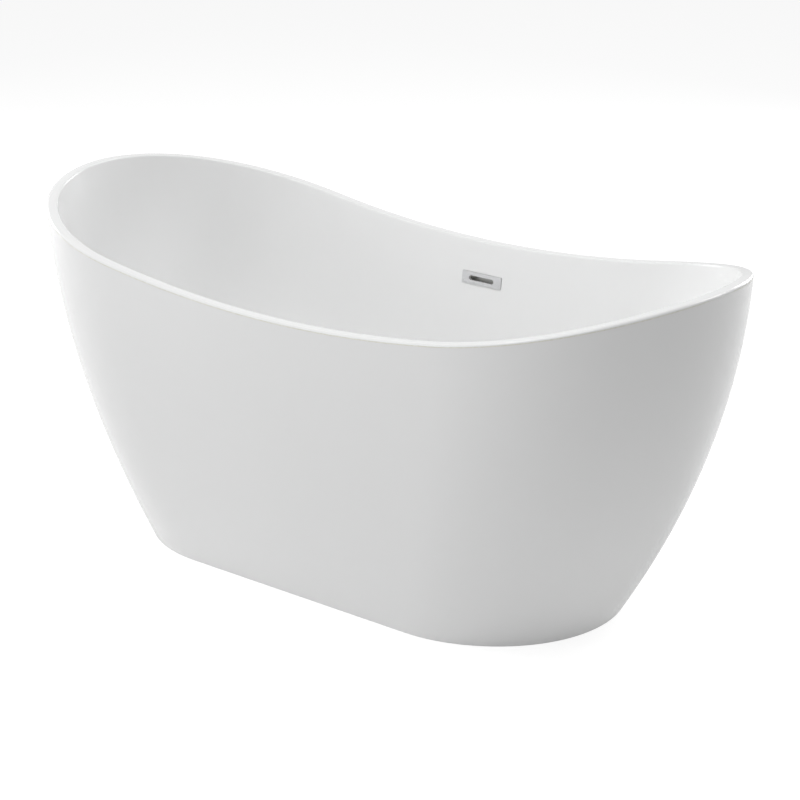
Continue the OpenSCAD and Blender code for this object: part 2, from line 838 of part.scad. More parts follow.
module wall_cuts() {
    translate([0, 0, -wall_seat])
        slab(plate_length + 2 * loose_gap, plate_height + 2 * loose_gap, plate_corner + loose_gap,
            wall_seat + plate_thickness);
    translate([0, 0, -pad_back * 2]) slot_cut(wall_slot.x, wall_slot.y, pad_back * 2);
    screw_pair(overflow_screw_d + 2 * screw_gap, -pad_back * 2, 0);
}

module overflow_gasket(z, thickness, length, height) {
    color("black")
    at_overflow()
    difference() {
        translate([0, 0, z]) slab(length, height, gasket_corner, thickness);
        translate([0, 0, z]) slot_cut(wall_slot.x, wall_slot.y, thickness);
        screw_pair(overflow_screw_d + 2 * screw_gap, z - eps, z + thickness + eps);
    }
}

module overflow_front_gasket() {
    overflow_gasket(-wall_seat, front_gasket_t, plate_length - 2 * front_gasket_inset,
        plate_height - 2 * front_gasket_inset);
}

module overflow_rear_gasket() {
    overflow_gasket(-duct_front, rear_gasket_t, 2 * duct_half, 2 * duct_top);
}

module overflow_bracket() {
    color("silver")
    at_overflow()
    translate([0, 0, plate_z])
    difference() {
        slab(plate_length - 2 * plate_rim - 2 * loose_gap,
            plate_height - 2 * plate_rim - 2 * loose_gap, plate_corner, overflow_bracket_t);
        slot_cut(wall_slot.x, wall_slot.y, overflow_bracket_t);
        screw_pair(overflow_screw_d + 2 * screw_gap, -eps, overflow_bracket_t + eps);
    }
}

module overflow_plate() {
    bevel = 0.4;
    color("gainsboro")
    at_overflow()
    translate([0, 0, plate_z])
    difference() {
        union() {
            slab(plate_length, plate_height, plate_corner, plate_thickness - bevel);
            slab(plate_length - 2 * bevel, plate_height - 2 * bevel, plate_corner, plate_thickness);
        }
        translate([0, 0, -eps])
            slab(plate_length - 2 * plate_rim, plate_height - 2 * plate_rim, plate_corner,
                plate_thickness - plate_face_t + eps);
        slot_cut(slot_length, slot_height, plate_thickness);
    }
}

module overflow_screws() {
    head_h = 1;
    head_d = 7;
    end_gap = 1;
    head_z = plate_z + overflow_bracket_t;
    color("silver")
    at_overflow() {
        screw_pair(head_d, head_z, head_z + head_h);
        screw_pair(overflow_screw_d, -duct_front - duct_depth + duct_wall + end_gap, head_z + eps);
    }
}

// The duct narrows downwards to a boss that carries the hose's spigot
duct_straight = 60;
duct_bottom = 150;
boss_half = hose_d / 2 + duct_wall;
boss_depth = spigot_d + 2 * spigot_wall;
boss_length = 14;
spigot_z = -duct_front - duct_depth / 2 + 1;
duct_outline = [[duct_half, duct_top], [-duct_half, duct_top], [-duct_half, -duct_straight],
    [-boss_half, -duct_bottom], [boss_half, -duct_bottom], [duct_half, -duct_straight]];
duct_inner = [[duct_half - duct_wall, duct_top - duct_wall],
    [-duct_half + duct_wall, duct_top - duct_wall],
    [-duct_half + duct_wall, -duct_straight],
    [-boss_half + 2 * duct_wall, -duct_bottom - eps],
    [boss_half - 2 * duct_wall, -duct_bottom - eps],
    [duct_half - duct_wall, -duct_straight]];

module overflow_duct() {
    color("whitesmoke")
    at_overflow()
    difference() {
        union() {
            difference() {
                translate([0, 0, -duct_front - duct_depth])
                    linear_extrude(duct_depth) polygon(duct_outline);
                translate([0, 0, -duct_front - duct_depth + duct_wall])
                    linear_extrude(duct_depth - 2 * duct_wall) polygon(duct_inner);
            }
            screw_pair(overflow_screw_d + 2 * screw_boss_wall, -duct_front - duct_depth + eps,
                -duct_front - eps);
            translate([-boss_half, -duct_bottom - boss_length, spigot_z - boss_depth / 2])
                cube([2 * boss_half, boss_length + eps, boss_depth]);
            translate([0, -duct_bottom - boss_length + eps, spigot_z]) rotate([90, 0, 0])
                cylinder(d = spigot_d, h = spigot_length);
        }
        translate([0, 0, -duct_front - duct_wall - eps])
            slot_cut(wall_slot.x, wall_slot.y, duct_wall + eps);
        screw_pair(overflow_screw_d + 2 * fit_gap, -duct_front - duct_depth + duct_wall, 0);
        translate([0, -duct_bottom + eps, spigot_z]) rotate([90, 0, 0])
            cylinder(d = spigot_bore_d, h = boss_length + spigot_length + 2 * eps);
    }
}

// ---- Overflow hose, swept from the duct's spigot down to the tee's port ----

hose_sides = 12;
hose_steps = 20;
hose_gap = 2;               // between the hose's ends and the bosses of the spigots
hose_start = duct_bottom + boss_length + hose_gap;
wall_down = [-sin(overflow_lean), -cos(overflow_lean)];
spigot_base = [overflow_at.y, overflow_at.z]
    + [-spigot_z * cos(overflow_lean), spigot_z * sin(overflow_lean)];
hose_top = spigot_base + hose_start * wall_down;
hose_turn = hose_top + spigot_length * wall_down;
hose_end_y = port_boss_y + hose_gap;
hose_turn_y = hose_end_y + spigot_length;
hose_pull = [0.62, 0.66];   // how strongly its two ends steer the bend
hose_steer = [hose_pull[0] * (hose_turn.y - hose_port_z), hose_pull[1] * (hose_turn.x - hose_turn_y)];
hose_bend = [for (k = [0:hose_steps])
    bezier(k / hose_steps, hose_turn, hose_turn + hose_steer[0] * wall_down,
        [hose_turn_y + hose_steer[1], hose_port_z], [hose_turn_y, hose_port_z])];
hose_path = concat([hose_top], hose_bend, [[hose_end_y, hose_port_z]]);

// Ring of the hose square to its path, which lies in the plane x = 0
function hose_ring(k, radius) =
    let (a = hose_path[max(k - 1, 0)], b = hose_path[min(k + 1, len(hose_path) - 1)],
        along = (b - a) / norm(b - a))
    [for (j = [0:hose_sides - 1])
        let (angle = 360 * j / hose_sides, u = radius * cos(angle), v = radius * sin(angle))
            [u, hose_path[k].x - v * along.y, hose_path[k].y + v * along.x]];

module overflow_hose() {
    last = len(hose_path) - 1;
    bore_r = hose_bore_d / 2 / cos(180 / hose_sides);
    color("lightgray")
    ring_solid(concat(
        [for (k = [last:-1:0]) hose_ring(k, hose_d / 2)],
        [for (k = [0:last]) hose_ring(k, bore_r)]), true);
}

clip_width = 9;
clip_t = 1.4;
clip_inset = 6;
clip_lug = [8, 1.6];        // width and height of the lug that is pinched shut
lug_sink = 0.2;             // of the lug into the band

module hose_clip() {
    rotate([90, 0, 0]) {
        tube(hose_d + 2 * (clip_t + fit_gap), hose_d + 2 * fit_gap, clip_width);
        translate([-clip_lug.x / 2, hose_d / 2 + clip_t - lug_sink, 0])
            cube([clip_lug.x, clip_lug.y, clip_width]);
    }
}

module hose_clip_top() {
    color("silver")
        at_overflow()
        translate([0, -hose_start - clip_inset, spigot_z]) hose_clip();
}

module hose_clip_bottom() {
    color("silver")
        translate([0, hose_end_y + clip_inset + clip_width, hose_port_z])
        rotate([0, 180, 0]) hose_clip();
}

basin();
skirt();
base_board();
frame_rail(rail_y);  // frame_rail_rear
frame_rail(-rail_y);  // frame_rail_front
end_member(-foot_x);  // end_member_left
end_member(foot_x);  // end_member_right
inner_member(-inner_member_x);  // inner_member_left
inner_member(inner_member_x);  // inner_member_right
board_screws();
skirt_brackets();
bracket_tube_screws();
bracket_flange_screws();
foot_weld_nuts();
foot_lock_nuts();
foot_stud(1);  // foot_stud_1
foot_stud(2);  // foot_stud_2
foot_stud(3);  // foot_stud_3
foot_stud(4);  // foot_stud_4
foot_pad(1);  // foot_pad_1
foot_pad(2);  // foot_pad_2
foot_pad(3);  // foot_pad_3
foot_pad(4);  // foot_pad_4
drain_flange();
drain_flange_gasket();
drain_under_gasket();
drain_slip_washer();
drain_nut();
waste_tee();
waste_tee_seal();
tailpiece();
tail_washer();
tail_nut();
stopper_barrel();
stopper_spring();
stopper_plunger();
stopper_seal();
stopper_cap();
overflow_plate();
overflow_bracket();
overflow_front_gasket();
overflow_rear_gasket();
overflow_screws();
overflow_duct();
overflow_hose();
hose_clip_top();
hose_clip_bottom();
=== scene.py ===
import json
from math import atan2, cos, pi, radians, sin

import bmesh
import bpy
from mathutils import Matrix, Vector


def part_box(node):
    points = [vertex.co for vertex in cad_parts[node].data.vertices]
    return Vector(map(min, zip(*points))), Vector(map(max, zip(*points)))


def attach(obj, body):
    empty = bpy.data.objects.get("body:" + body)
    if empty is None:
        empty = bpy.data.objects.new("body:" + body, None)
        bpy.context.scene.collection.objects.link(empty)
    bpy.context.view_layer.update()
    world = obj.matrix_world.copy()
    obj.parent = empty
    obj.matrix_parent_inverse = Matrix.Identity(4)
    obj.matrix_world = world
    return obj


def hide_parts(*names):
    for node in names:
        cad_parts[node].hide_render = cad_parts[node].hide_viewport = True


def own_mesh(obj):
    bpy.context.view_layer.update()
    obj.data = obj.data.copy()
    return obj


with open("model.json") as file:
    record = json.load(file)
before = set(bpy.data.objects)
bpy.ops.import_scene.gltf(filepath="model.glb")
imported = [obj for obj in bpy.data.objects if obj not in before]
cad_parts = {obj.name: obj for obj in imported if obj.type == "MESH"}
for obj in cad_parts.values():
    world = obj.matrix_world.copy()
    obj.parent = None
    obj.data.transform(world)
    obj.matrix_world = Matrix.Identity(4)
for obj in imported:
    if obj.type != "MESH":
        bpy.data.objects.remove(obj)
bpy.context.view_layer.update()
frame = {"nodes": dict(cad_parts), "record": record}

scene = bpy.context.scene
print("frame loaded:", len(frame["nodes"]), "nodes")

# The camera comes first, everything else is looked at through it
camera = {
    "azimuth": 40.14,
    "elevation": 18.40,
    "distance": 4.787,
    "lookAt": (0, 0, 0.366),
    "lens": 113.6,
    "shift": (0.0237, -0.0284),
}


def makeCamera():
    turn, rise = radians(camera["azimuth"]), radians(camera["elevation"])
    back = Vector((sin(turn) * cos(rise), -cos(turn) * cos(rise), sin(rise)))
    made = bpy.data.objects.new("camera", bpy.data.cameras.new("camera"))
    made.location = Vector(camera["lookAt"]) + back * camera["distance"]
    made.rotation_euler = (-back).to_track_quat("-Z", "Y").to_euler()
    made.data.lens = camera["lens"]
    made.data.shift_x, made.data.shift_y = camera["shift"]
    scene.collection.objects.link(made)
    scene.camera = made


makeCamera()


class Wire:  # an output socket that can be used in sums
    def __init__(self, finish, socket):
        self.finish, self.socket = finish, socket

    def maths(self, operation, other):
        return self.finish.node("ShaderNodeMath", {"operation": operation}, {0: self, 1: other})

    def __add__(self, other):
        return self.maths("ADD", other)

    __radd__ = __add__

    def __mul__(self, other):
        return self.maths("MULTIPLY", other)

    __rmul__ = __mul__


class Finish:  # one material and the nodes behind it
    def __init__(self, name, **fixed):
        self.material = bpy.data.materials.new(name)
        self.material.use_nodes = True
        self.tree = self.material.node_tree
        self.shader = self.tree.nodes["Principled BSDF"]
        self.place = self.node("ShaderNodeTexCoord", out="Object")
        self.set(**fixed)

    def node(self, kind, settings=None, inputs=None, out=0):
        made = self.tree.nodes.new(kind)
        for name, value in (settings or {}).items():
            setattr(made, name, value)
        for key, value in (inputs or {}).items():
            self.feed(made.inputs[key], value)
        return Wire(self, made.outputs[out])

    def feed(self, socket, value):
        if isinstance(value, Wire):
            self.tree.links.new(value.socket, socket)
        else:
            socket.default_value = value

    def set(self, **values):
        for name, value in values.items():
            self.feed(self.shader.inputs[name.replace("_", " ")], value)

    def stretched(self, *scale):
        return self.node("ShaderNodeMapping", {}, {"Vector": self.place, "Scale": scale})

    def noise(self, scale, detail=2.0, place=None, roughness=0.5, distortion=0.0):
        return self.node("ShaderNodeTexNoise", {}, {
            "Vector": place or self.place, "Scale": scale, "Detail": detail,
            "Roughness": roughness, "Distortion": distortion})

    def cells(self, scale, place=None):
        return self.node("ShaderNodeTexVoronoi", {}, {"Vector": place or self.place, "Scale": scale})

    def between(self, value, low, high):  # 0 below low, 1 above high
        return self.node("ShaderNodeMapRange", {}, {0: value, 1: low, 2: high})

    def tint(self, factor, first, second):
        return self.node("ShaderNodeMix", {"data_type": "RGBA"}, {0: factor, 6: first, 7: second}, out=2)

    def bump(self, height, depth, strength=1.0, normal=None):
        inputs = {"Height": height, "Distance": depth, "Strength": strength}
        if normal:
            inputs["Normal"] = normal
        return self.node("ShaderNodeBump", {}, inputs)


def rgb(red, green, blue):
    return (red, green, blue, 1)


acrylic = {
    "colour": rgb(0.862, 0.864, 0.863),
    "shade": rgb(0.840, 0.843, 0.842),
    "roughness": 0.16,
}


def whiteAcrylic():
    made = Finish("whiteAcrylic", IOR=1.49)
    clouds = made.noise(2.2, 3)
    film = made.noise(9, 4, distortion=0.6)
    smears = made.noise(30, 3, made.stretched(1, 1, 0.25))
    waves = made.noise(7, 1)
    peel = made.noise(420, 2)
    made.set(
        Base_Color=made.tint(clouds, acrylic["colour"], acrylic["shade"]),
        Roughness=acrylic["roughness"] + 0.05 * film + 0.04 * smears,
        Normal=made.bump(peel, 0.00001, 1, made.bump(waves, 0.0006, 0.5)))
    return made.material


def fibreglass():  # the sprayed-up back of the acrylic: resin over chopped strands
    made = Finish("fibreglass", IOR=1.5)
    strands = made.noise(260, 3, made.stretched(1, 0.22, 0.6), distortion=1.4)
    crossed = made.noise(240, 3, made.stretched(0.25, 1, 0.9), distortion=1.4)
    lumps = made.noise(22, 4)
    weave = strands * 0.5 + crossed * 0.5
    made.set(
        Base_Color=made.tint(
            made.between(weave, 0.35, 0.65), rgb(0.70, 0.69, 0.60), rgb(0.83, 0.83, 0.78)),
        Roughness=0.35 + 0.3 * lumps,
        Normal=made.bump(weave, 0.0006, 0.8, made.bump(lumps, 0.003, 0.6)))
    return made.material


def resinBoard():
    made = Finish("resinBoard", IOR=1.5)
    chips = made.cells(85, place=made.stretched(1, 0.6, 1))
    flecks = made.noise(150, 3, distortion=0.8)
    drips = made.noise(12, 3)
    wood = made.tint(made.between(chips, 0.1, 0.6), rgb(0.50, 0.36, 0.20), rgb(0.66, 0.52, 0.33))
    made.set(
        Base_Color=made.tint(made.between(flecks, 0.55, 0.75), wood, rgb(0.38, 0.26, 0.14)),
        Roughness=0.25 + 0.35 * drips,
        Normal=made.bump(flecks, 0.0003, 0.7, made.bump(drips, 0.0015, 0.5)))
    return made.material


def powderCoat():
    made = Finish("powderCoat", IOR=1.5)
    grain = made.noise(900, 2)
    dust = made.noise(25, 4)
    chips = made.between(made.noise(60, 5, roughness=0.75), 0.70, 0.72)
    coat = made.tint(dust, rgb(0.20, 0.205, 0.215), rgb(0.27, 0.275, 0.285))
    made.set(
        Base_Color=made.tint(chips, coat, rgb(0.45, 0.43, 0.40)),
        Metallic=chips,
        Roughness=0.42 + 0.15 * dust,
        Normal=made.bump(grain, 0.00008, 0.8))
    return made.material


def zincPlate():
    made = Finish("zincPlate")
    blotches = made.noise(35, 4, distortion=0.5)
    spangle = made.cells(160)
    scratches = made.noise(500, 2, made.stretched(1, 1, 0.06))
    made.set(
        Base_Color=made.tint(blotches, rgb(0.62, 0.63, 0.62), rgb(0.70, 0.68, 0.58)),
        Metallic=1.0,
        Roughness=0.24 + 0.16 * blotches + 0.1 * scratches,
        Normal=made.bump(scratches, 0.00002, 0.6, made.bump(spangle, 0.00003, 0.4)))
    return made.material


def nylon():
    made = Finish("footNylon", IOR=1.53)
    grain = made.cells(1400)
    scuffs = made.between(made.noise(40, 5, roughness=0.7), 0.5, 0.75)
    made.set(
        Base_Color=made.tint(scuffs, rgb(0.028, 0.028, 0.03), rgb(0.075, 0.075, 0.075)),
        Roughness=0.45 + 0.2 * scuffs,
        Normal=made.bump(grain, 0.00006, 0.7))
    return made.material


def chrome(name="polishedChrome", brushed=0.0, shine=0.77):
    made = Finish(name)
    smudges = made.noise(28, 4, distortion=0.7)
    hairlines = made.noise(900, 2, made.stretched(0.04, 1, 1))
    dulled = rgb(shine - 0.05, shine - 0.045, shine - 0.035)
    made.set(
        Base_Color=made.tint(smudges, rgb(shine, shine, shine + 0.01), dulled),
        Metallic=1.0,
        Roughness=0.07 + brushed + 0.06 * smudges + (0.02 + 0.3 * brushed) * hairlines,
        Normal=made.bump(hairlines, 0.000004 + 0.00002 * brushed, 0.7))
    return made.material


def nickelBrass():
    made = Finish("nickelBrass")
    tarnish = made.noise(30, 5, roughness=0.65)
    lathe = made.noise(700, 2, made.stretched(0.1, 0.1, 1))
    made.set(
        Base_Color=made.tint(
            made.between(tarnish, 0.4, 0.7), rgb(0.74, 0.70, 0.60), rgb(0.60, 0.52, 0.36)),
        Metallic=1.0,
        Roughness=0.2 + 0.2 * tarnish + 0.08 * lathe,
        Normal=made.bump(lathe, 0.00003, 0.7))
    return made.material


def blackRubber():
    made = Finish("blackRubber", IOR=1.52)
    grain = made.noise(1200, 3)
    bloom = made.between(made.noise(45, 4), 0.45, 0.75)
    made.set(
        Base_Color=made.tint(bloom, rgb(0.018, 0.018, 0.018), rgb(0.06, 0.06, 0.058)),
        Roughness=0.6 + 0.2 * bloom,
        Normal=made.bump(grain, 0.00005, 0.8))
    return made.material


def slipFibre():
    made = Finish("slipFibre", IOR=1.5)
    fibres = made.noise(420, 4, made.stretched(1, 0.3, 1), distortion=1)
    made.set(
        Base_Color=made.tint(fibres, rgb(0.42, 0.25, 0.12), rgb(0.62, 0.42, 0.24)),
        Roughness=0.7 + 0.15 * fibres,
        Normal=made.bump(fibres, 0.00008, 0.8))
    return made.material


def wastePlastic():
    made = Finish("wastePlastic", IOR=1.49)
    flow = made.noise(18, 3, distortion=1.2)
    satin = made.noise(1500, 2)
    made.set(
        Base_Color=made.tint(flow, rgb(0.80, 0.80, 0.78), rgb(0.74, 0.745, 0.73)),
        Roughness=0.38 + 0.12 * flow,
        Normal=made.bump(satin, 0.00003, 0.7))
    return made.material


def stainless():
    made = Finish("stainlessSteel")
    lines = made.noise(800, 3, made.stretched(0.05, 1, 0.05))
    blotches = made.noise(30, 3)
    made.set(
        Base_Color=made.tint(blotches, rgb(0.60, 0.60, 0.59), rgb(0.66, 0.655, 0.64)),
        Metallic=1.0,
        Roughness=0.22 + 0.1 * blotches + 0.12 * lines,
        Normal=made.bump(lines, 0.00002, 0.6))
    return made.material


def hoseVinyl():
    made = Finish("hoseVinyl", IOR=1.53)
    cloudy = made.noise(40, 3)
    made.set(
        Base_Color=made.tint(cloudy, rgb(0.60, 0.61, 0.62), rgb(0.70, 0.71, 0.71)),
        Roughness=0.28 + 0.15 * cloudy,
        Normal=made.bump(made.noise(600, 2), 0.00003, 0.6))
    return made.material


finishes = {
    "white_acrylic": whiteAcrylic(),
    "resin_coated_board": resinBoard(),
    "frame_steel": powderCoat(),
    "zinc_plated_steel": zincPlate(),
    "foot_nylon": nylon(),
    "polished_chrome": chrome(),
    "plated_brass": nickelBrass(),
    "black_rubber": blackRubber(),
    "slip_fibre": slipFibre(),
    "waste_plastic": wastePlastic(),
    "stainless_steel": stainless(),
    "hose_vinyl": hoseVinyl(),
}
satinChrome = chrome("satinChrome", 0.16, 0.68)
backing = fibreglass()
print("materials made:", len(finishes) + 2)


def lofted(rings):  # a closed shell through rings of points, the last ring lying on the first
    bm = bmesh.new()
    across = len(rings[0]) + 1
    grid = bmesh.ops.create_grid(bm, x_segments=across - 1, y_segments=len(rings) - 1, size=1)["verts"]
    for k, points in enumerate(rings):
        for vert, point in zip(grid[k * across:(k + 1) * across], points + points[:1]):
            vert.co = point
    bmesh.ops.remove_doubles(bm, verts=bm.verts, dist=1e-7)
    bmesh.ops.recalc_face_normals(bm, faces=bm.faces)
    return bm


def turned(profile, steps=96):  # radius and height pairs spun round the drain's axis
    bm = bmesh.new()
    line = [bm.verts.new((radius, 0, height)) for radius, height in profile]
    edges = [bm.edges.new(pair) for pair in zip(line, line[1:] + line[:1])]
    bmesh.ops.spin(bm, geom=line + edges, cent=(0, 0, 0), axis=(0, 0, 1), angle=2 * pi,
                   steps=steps, use_merge=True)
    bmesh.ops.remove_doubles(bm, verts=bm.verts, dist=1e-7)
    bmesh.ops.delete(bm, geom=[e for e in bm.edges if not e.link_faces], context="EDGES")
    bmesh.ops.recalc_face_normals(bm, faces=bm.faces)
    return bm


def slab(length, height, corner, low, high):  # a flat plate with rounded corners
    bm = bmesh.new()
    bmesh.ops.create_grid(bm, x_segments=1, y_segments=1, size=0.5)
    bmesh.ops.scale(bm, vec=(length, height, 1), verts=bm.verts)
    bmesh.ops.bevel(bm, geom=bm.verts[:], offset=corner, affect="VERTICES", segments=10,
                    profile=0.5, material=-1)
    bmesh.ops.translate(bm, vec=(0, 0, low), verts=bm.verts)
    raised = bmesh.ops.extrude_face_region(bm, geom=bm.faces[:])["geom"]
    top = [part for part in raised if isinstance(part, bmesh.types.BMVert)]
    bmesh.ops.translate(bm, vec=(0, 0, high - low), verts=top)
    bmesh.ops.recalc_face_normals(bm, faces=bm.faces)
    return bm


def rod(radius, low, high, at=(0, 0), segments=48):
    bm = bmesh.new()
    bmesh.ops.create_cone(bm, segments=segments, radius1=radius, radius2=radius, depth=high - low,
                          cap_ends=True)
    bmesh.ops.translate(bm, vec=(at[0], at[1], (low + high) / 2), verts=bm.verts)
    return bm


def carved(bm, tool, operation="DIFFERENCE"):  # uses both shapes up
    pair = []
    for name, mesh in (("carved", bm), ("tool", tool)):
        data = bpy.data.meshes.new(name)
        mesh.to_mesh(data)
        mesh.free()
        pair.append(bpy.data.objects.new(name, data))
        scene.collection.objects.link(pair[-1])
    cut = pair[0].modifiers.new("cut", "BOOLEAN")
    cut.operation, cut.object, cut.solver = operation, pair[1], "EXACT"
    shape = pair[0].evaluated_get(bpy.context.evaluated_depsgraph_get())
    result = bmesh.new()
    result.from_mesh(shape.to_mesh())
    for part in pair:
        bpy.data.objects.remove(part)
    return result


def merged(*parts):  # several closed shapes in one mesh
    whole = parts[0]
    for part in parts[1:]:
        data = bpy.data.meshes.new("part")
        part.to_mesh(data)
        part.free()
        whole.from_mesh(data)
        bpy.data.meshes.remove(data)
    return whole


def moved(bm, x=0.0, y=0.0, z=0.0):
    bmesh.ops.translate(bm, vec=(x, y, z), verts=bm.verts)
    return bm


def rotated(bm, angle, axis="X"):
    turn = Matrix.Rotation(radians(angle), 3, axis)
    bmesh.ops.rotate(bm, cent=(0, 0, 0), matrix=turn, verts=bm.verts)
    return bm


def rounded(corners, steps=4):  # eases the (radius, height, rounding) corners of a closed profile
    line = []
    for i, (r, z, ease) in enumerate(corners):
        here = Vector((r, z))
        before = Vector(corners[i - 1][:2]) - here
        after = Vector(corners[(i + 1) % len(corners)][:2]) - here
        if not ease:
            line.append(tuple(here))
            continue
        reach = min(ease, before.length / 2, after.length / 2)
        first, last = here + before.normalized() * reach, here + after.normalized() * reach
        line += [tuple(first.lerp(here, k / steps).lerp(here.lerp(last, k / steps), k / steps))
                 for k in range(steps + 1)]
    return line


def ring(outer, bore, low, high, ease=0.0005, steps=96):
    corners = [(bore, low, ease), (outer, low, ease), (outer, high, ease), (bore, high, ease)]
    return turned(rounded(corners), steps)


def hexNut(across, bore, low, high):  # corners chamfered top and bottom, mouth of the bore eased
    flat = across * cos(pi / 6)
    drop = (across - flat) * 0.55
    prism = rod(across, low, high, segments=6)
    chamfer = turned([(0, low), (flat * 0.98, low), (across * 1.01, low + drop),
                      (across * 1.01, high - drop), (flat * 0.98, high), (0, high)], 72)
    nut = carved(prism, chamfer, "INTERSECT")
    if bore:
        ease = 0.0006
        mouth = bore + 2 * ease
        nut = carved(nut, turned([(0, low - ease), (mouth, low - ease), (bore, low + ease),
                                  (bore, high - ease), (mouth, high + ease), (0, high + ease)], 48))
    return nut


def threadedRod(crest, depth, pitch, low, high, steps=24):  # a tooth wound up a helix
    bm = bmesh.new()
    turns = int((high - low) / pitch) + 2
    start = low - pitch
    root = crest - depth
    heights = [(root, 0), (root, 0.12), (crest, 0.44), (crest, 0.68), (root, 1)]
    line = [bm.verts.new((radius, 0, start + share * pitch)) for radius, share in heights]
    edges = [bm.edges.new(pair) for pair in zip(line, line[1:])]
    bmesh.ops.spin(bm, geom=line + edges, cent=(0, 0, 0), axis=(0, 0, 1), dvec=(0, 0, pitch / steps),
                   angle=2 * pi * turns, steps=turns * steps)
    bmesh.ops.remove_doubles(bm, verts=bm.verts, dist=1e-6)
    for height, away in ((low, -1), (high, 1)):
        bmesh.ops.bisect_plane(bm, geom=bm.verts[:] + bm.edges[:] + bm.faces[:], dist=1e-7,
                               plane_co=(0, 0, height), plane_no=(0, 0, away), clear_outer=True)
        rim = [e for e in bm.edges if e.is_boundary and abs(e.verts[0].co.z - height) < 1e-6
               and abs(e.verts[1].co.z - height) < 1e-6]
        bmesh.ops.contextual_create(bm, geom=rim)
    bmesh.ops.recalc_face_normals(bm, faces=bm.faces)
    return bm


def sharpEdges(bm, angle):
    return [e for e in bm.edges if len(e.link_faces) == 2 and e.calc_face_angle(0) > radians(angle)]


def roundEdges(bm, width, segments=2, angle=30):
    bmesh.ops.bevel(bm, geom=sharpEdges(bm, angle), offset=width, affect="EDGES",
                    segments=segments, profile=0.5, material=-1, clamp_overlap=True)
    return bm


def evenShading(made):  # large flat faces stay flat beside their rounded edges
    made.modifiers.new("shading", "WEIGHTED_NORMAL").keep_sharp = True


def piece(name, bm, finish, body, slot, *nodes, crease=35):
    for face in bm.faces:
        face.smooth = True
    for edge in sharpEdges(bm, crease):
        edge.smooth = False
    mesh = bpy.data.meshes.new(name)
    bm.to_mesh(mesh)
    bm.free()
    for material in finish if isinstance(finish, list) else [finish]:
        mesh.materials.append(material)
    made = bpy.data.objects.new(name, mesh)
    scene.collection.objects.link(made)
    evenShading(made)
    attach(made, body)
    if nodes:
        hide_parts(*nodes)
    return made


tub = {  # the outlines of the shell, in metres
    "length": 1.5, "width": 0.68, "endHeight": 0.675, "middleHeight": 0.565,
    "baseLength": 1.04, "baseWidth": 0.5, "rimStraight": 0.78, "baseStraight": 0.53,
    "floorLength": 0.88, "floorWidth": 0.33,
    "rimRoundness": (0.45, 0.69), "baseRoundness": (0.6, 0.5),
    "endBulge": 0.85, "sideBulge": 0.55,
    "curveSteps": 48, "straightSteps": 16,
}
quarterSteps = tub["curveSteps"] + tub["straightSteps"]
ringSteps = 4 * quarterSteps


def bezier(t, a, b, c, d):
    return a * (1 - t) ** 3 + b * 3 * t * (1 - t) ** 2 + c * 3 * t * t * (1 - t) + d * t ** 3


def quarterPoint(step, length, width, straight, roundness):
    if step > tub["curveSteps"]:
        return Vector((straight * (quarterSteps - step) / tub["straightSteps"], width))
    return bezier(
        step / tub["curveSteps"], Vector((length, 0)), Vector((length, roundness[0] * width)),
        Vector((straight + roundness[1] * (length - straight), width)), Vector((straight, width)))


def outline(length, width, straight, roundness):  # straight sides and curved ends
    points = []
    for quarter in range(4):
        for step in range(quarterSteps):
            at = step if quarter % 2 == 0 else quarterSteps - step
            x, y = quarterPoint(at, length / 2, width / 2, straight / 2, roundness)
            points.append(Vector((-x if quarter in (1, 2) else x, -y if quarter > 1 else y)))
    return points


rimLine = outline(tub["length"], tub["width"], tub["rimStraight"], tub["rimRoundness"])
baseLine = outline(tub["baseLength"], tub["baseWidth"], tub["baseStraight"], tub["baseRoundness"])
floorLine = outline(tub["floorLength"], tub["floorWidth"], tub["floorLength"] / 2, tub["baseRoundness"])
rimHeights = [tub["middleHeight"] + (tub["endHeight"] - tub["middleHeight"])
              * (2 * p.x / tub["length"]) ** 2 for p in rimLine]


def inset(points, distance):  # every point moved inwards in plan
    line = []
    for i, point in enumerate(points):
        along = points[(i + 1) % len(points)] - points[i - 1]
        along = Vector((along[0], along[1])).normalized()
        line.append(Vector((point[0] - distance * along.y, point[1] + distance * along.x, *point[2:])))
    return line


def outsideRing(heights):  # the tub's outer face at a height for each point of the outline
    line = []
    for base, rim, top, z in zip(baseLine, rimLine, rimHeights, heights):
        t = z / top
        x = base.x + (rim.x - base.x) * (t + tub["endBulge"] * t * (1 - t))
        y = base.y + (rim.y - base.y) * (t + tub["sideBulge"] * t * (1 - t))
        line.append(Vector((x, y, z)))
    return line


basin = {
    "wall": 0.005, "floor": 0.130, "fall": 0.004, "wallSteps": 44, "floorSteps": 10, "backSteps": 20,
    "rimWidth": 0.022, "rimThickness": 0.006, "outerRound": 0.0055, "innerRound": 0.004, "roundSteps": 6,
    "sideLean": (0.5, 0.8), "endLean": (0.42, 0.8), "rise": (0, 0.45),  # how the wall curves upwards
    "drainHole": 0.025, "drainSeat": 0.0375, "seatDepth": 0.003, "level": 0.0495, "seatEase": 0.0006,
}
underside = basin["floor"] - basin["wall"]
innerRimLine = inset(rimLine, basin["rimWidth"])
backRimLine = inset(rimLine, basin["rimWidth"] - basin["wall"])


def wallPoint(i, s, footZ, top, topZ):  # s runs from the floor, 0, to the rim, 1
    x = bezier(s, 0, *basin["endLean"], 1)
    y = bezier(s, 0, *basin["sideLean"], 1)
    z = bezier(s, 0, *basin["rise"], 1)
    foot = floorLine[i]
    return Vector((foot.x + (top[i].x - foot.x) * x, foot.y + (top[i].y - foot.y) * y,
                   footZ + (topZ - footZ) * z))


def insidePoint(i, s):
    foot, top = basin["floor"] + basin["fall"], rimHeights[i] - basin["innerRound"]
    return wallPoint(i, s, foot, innerRimLine, top)


def wallRing(s):
    return [insidePoint(i, s) for i in range(ringSteps)]


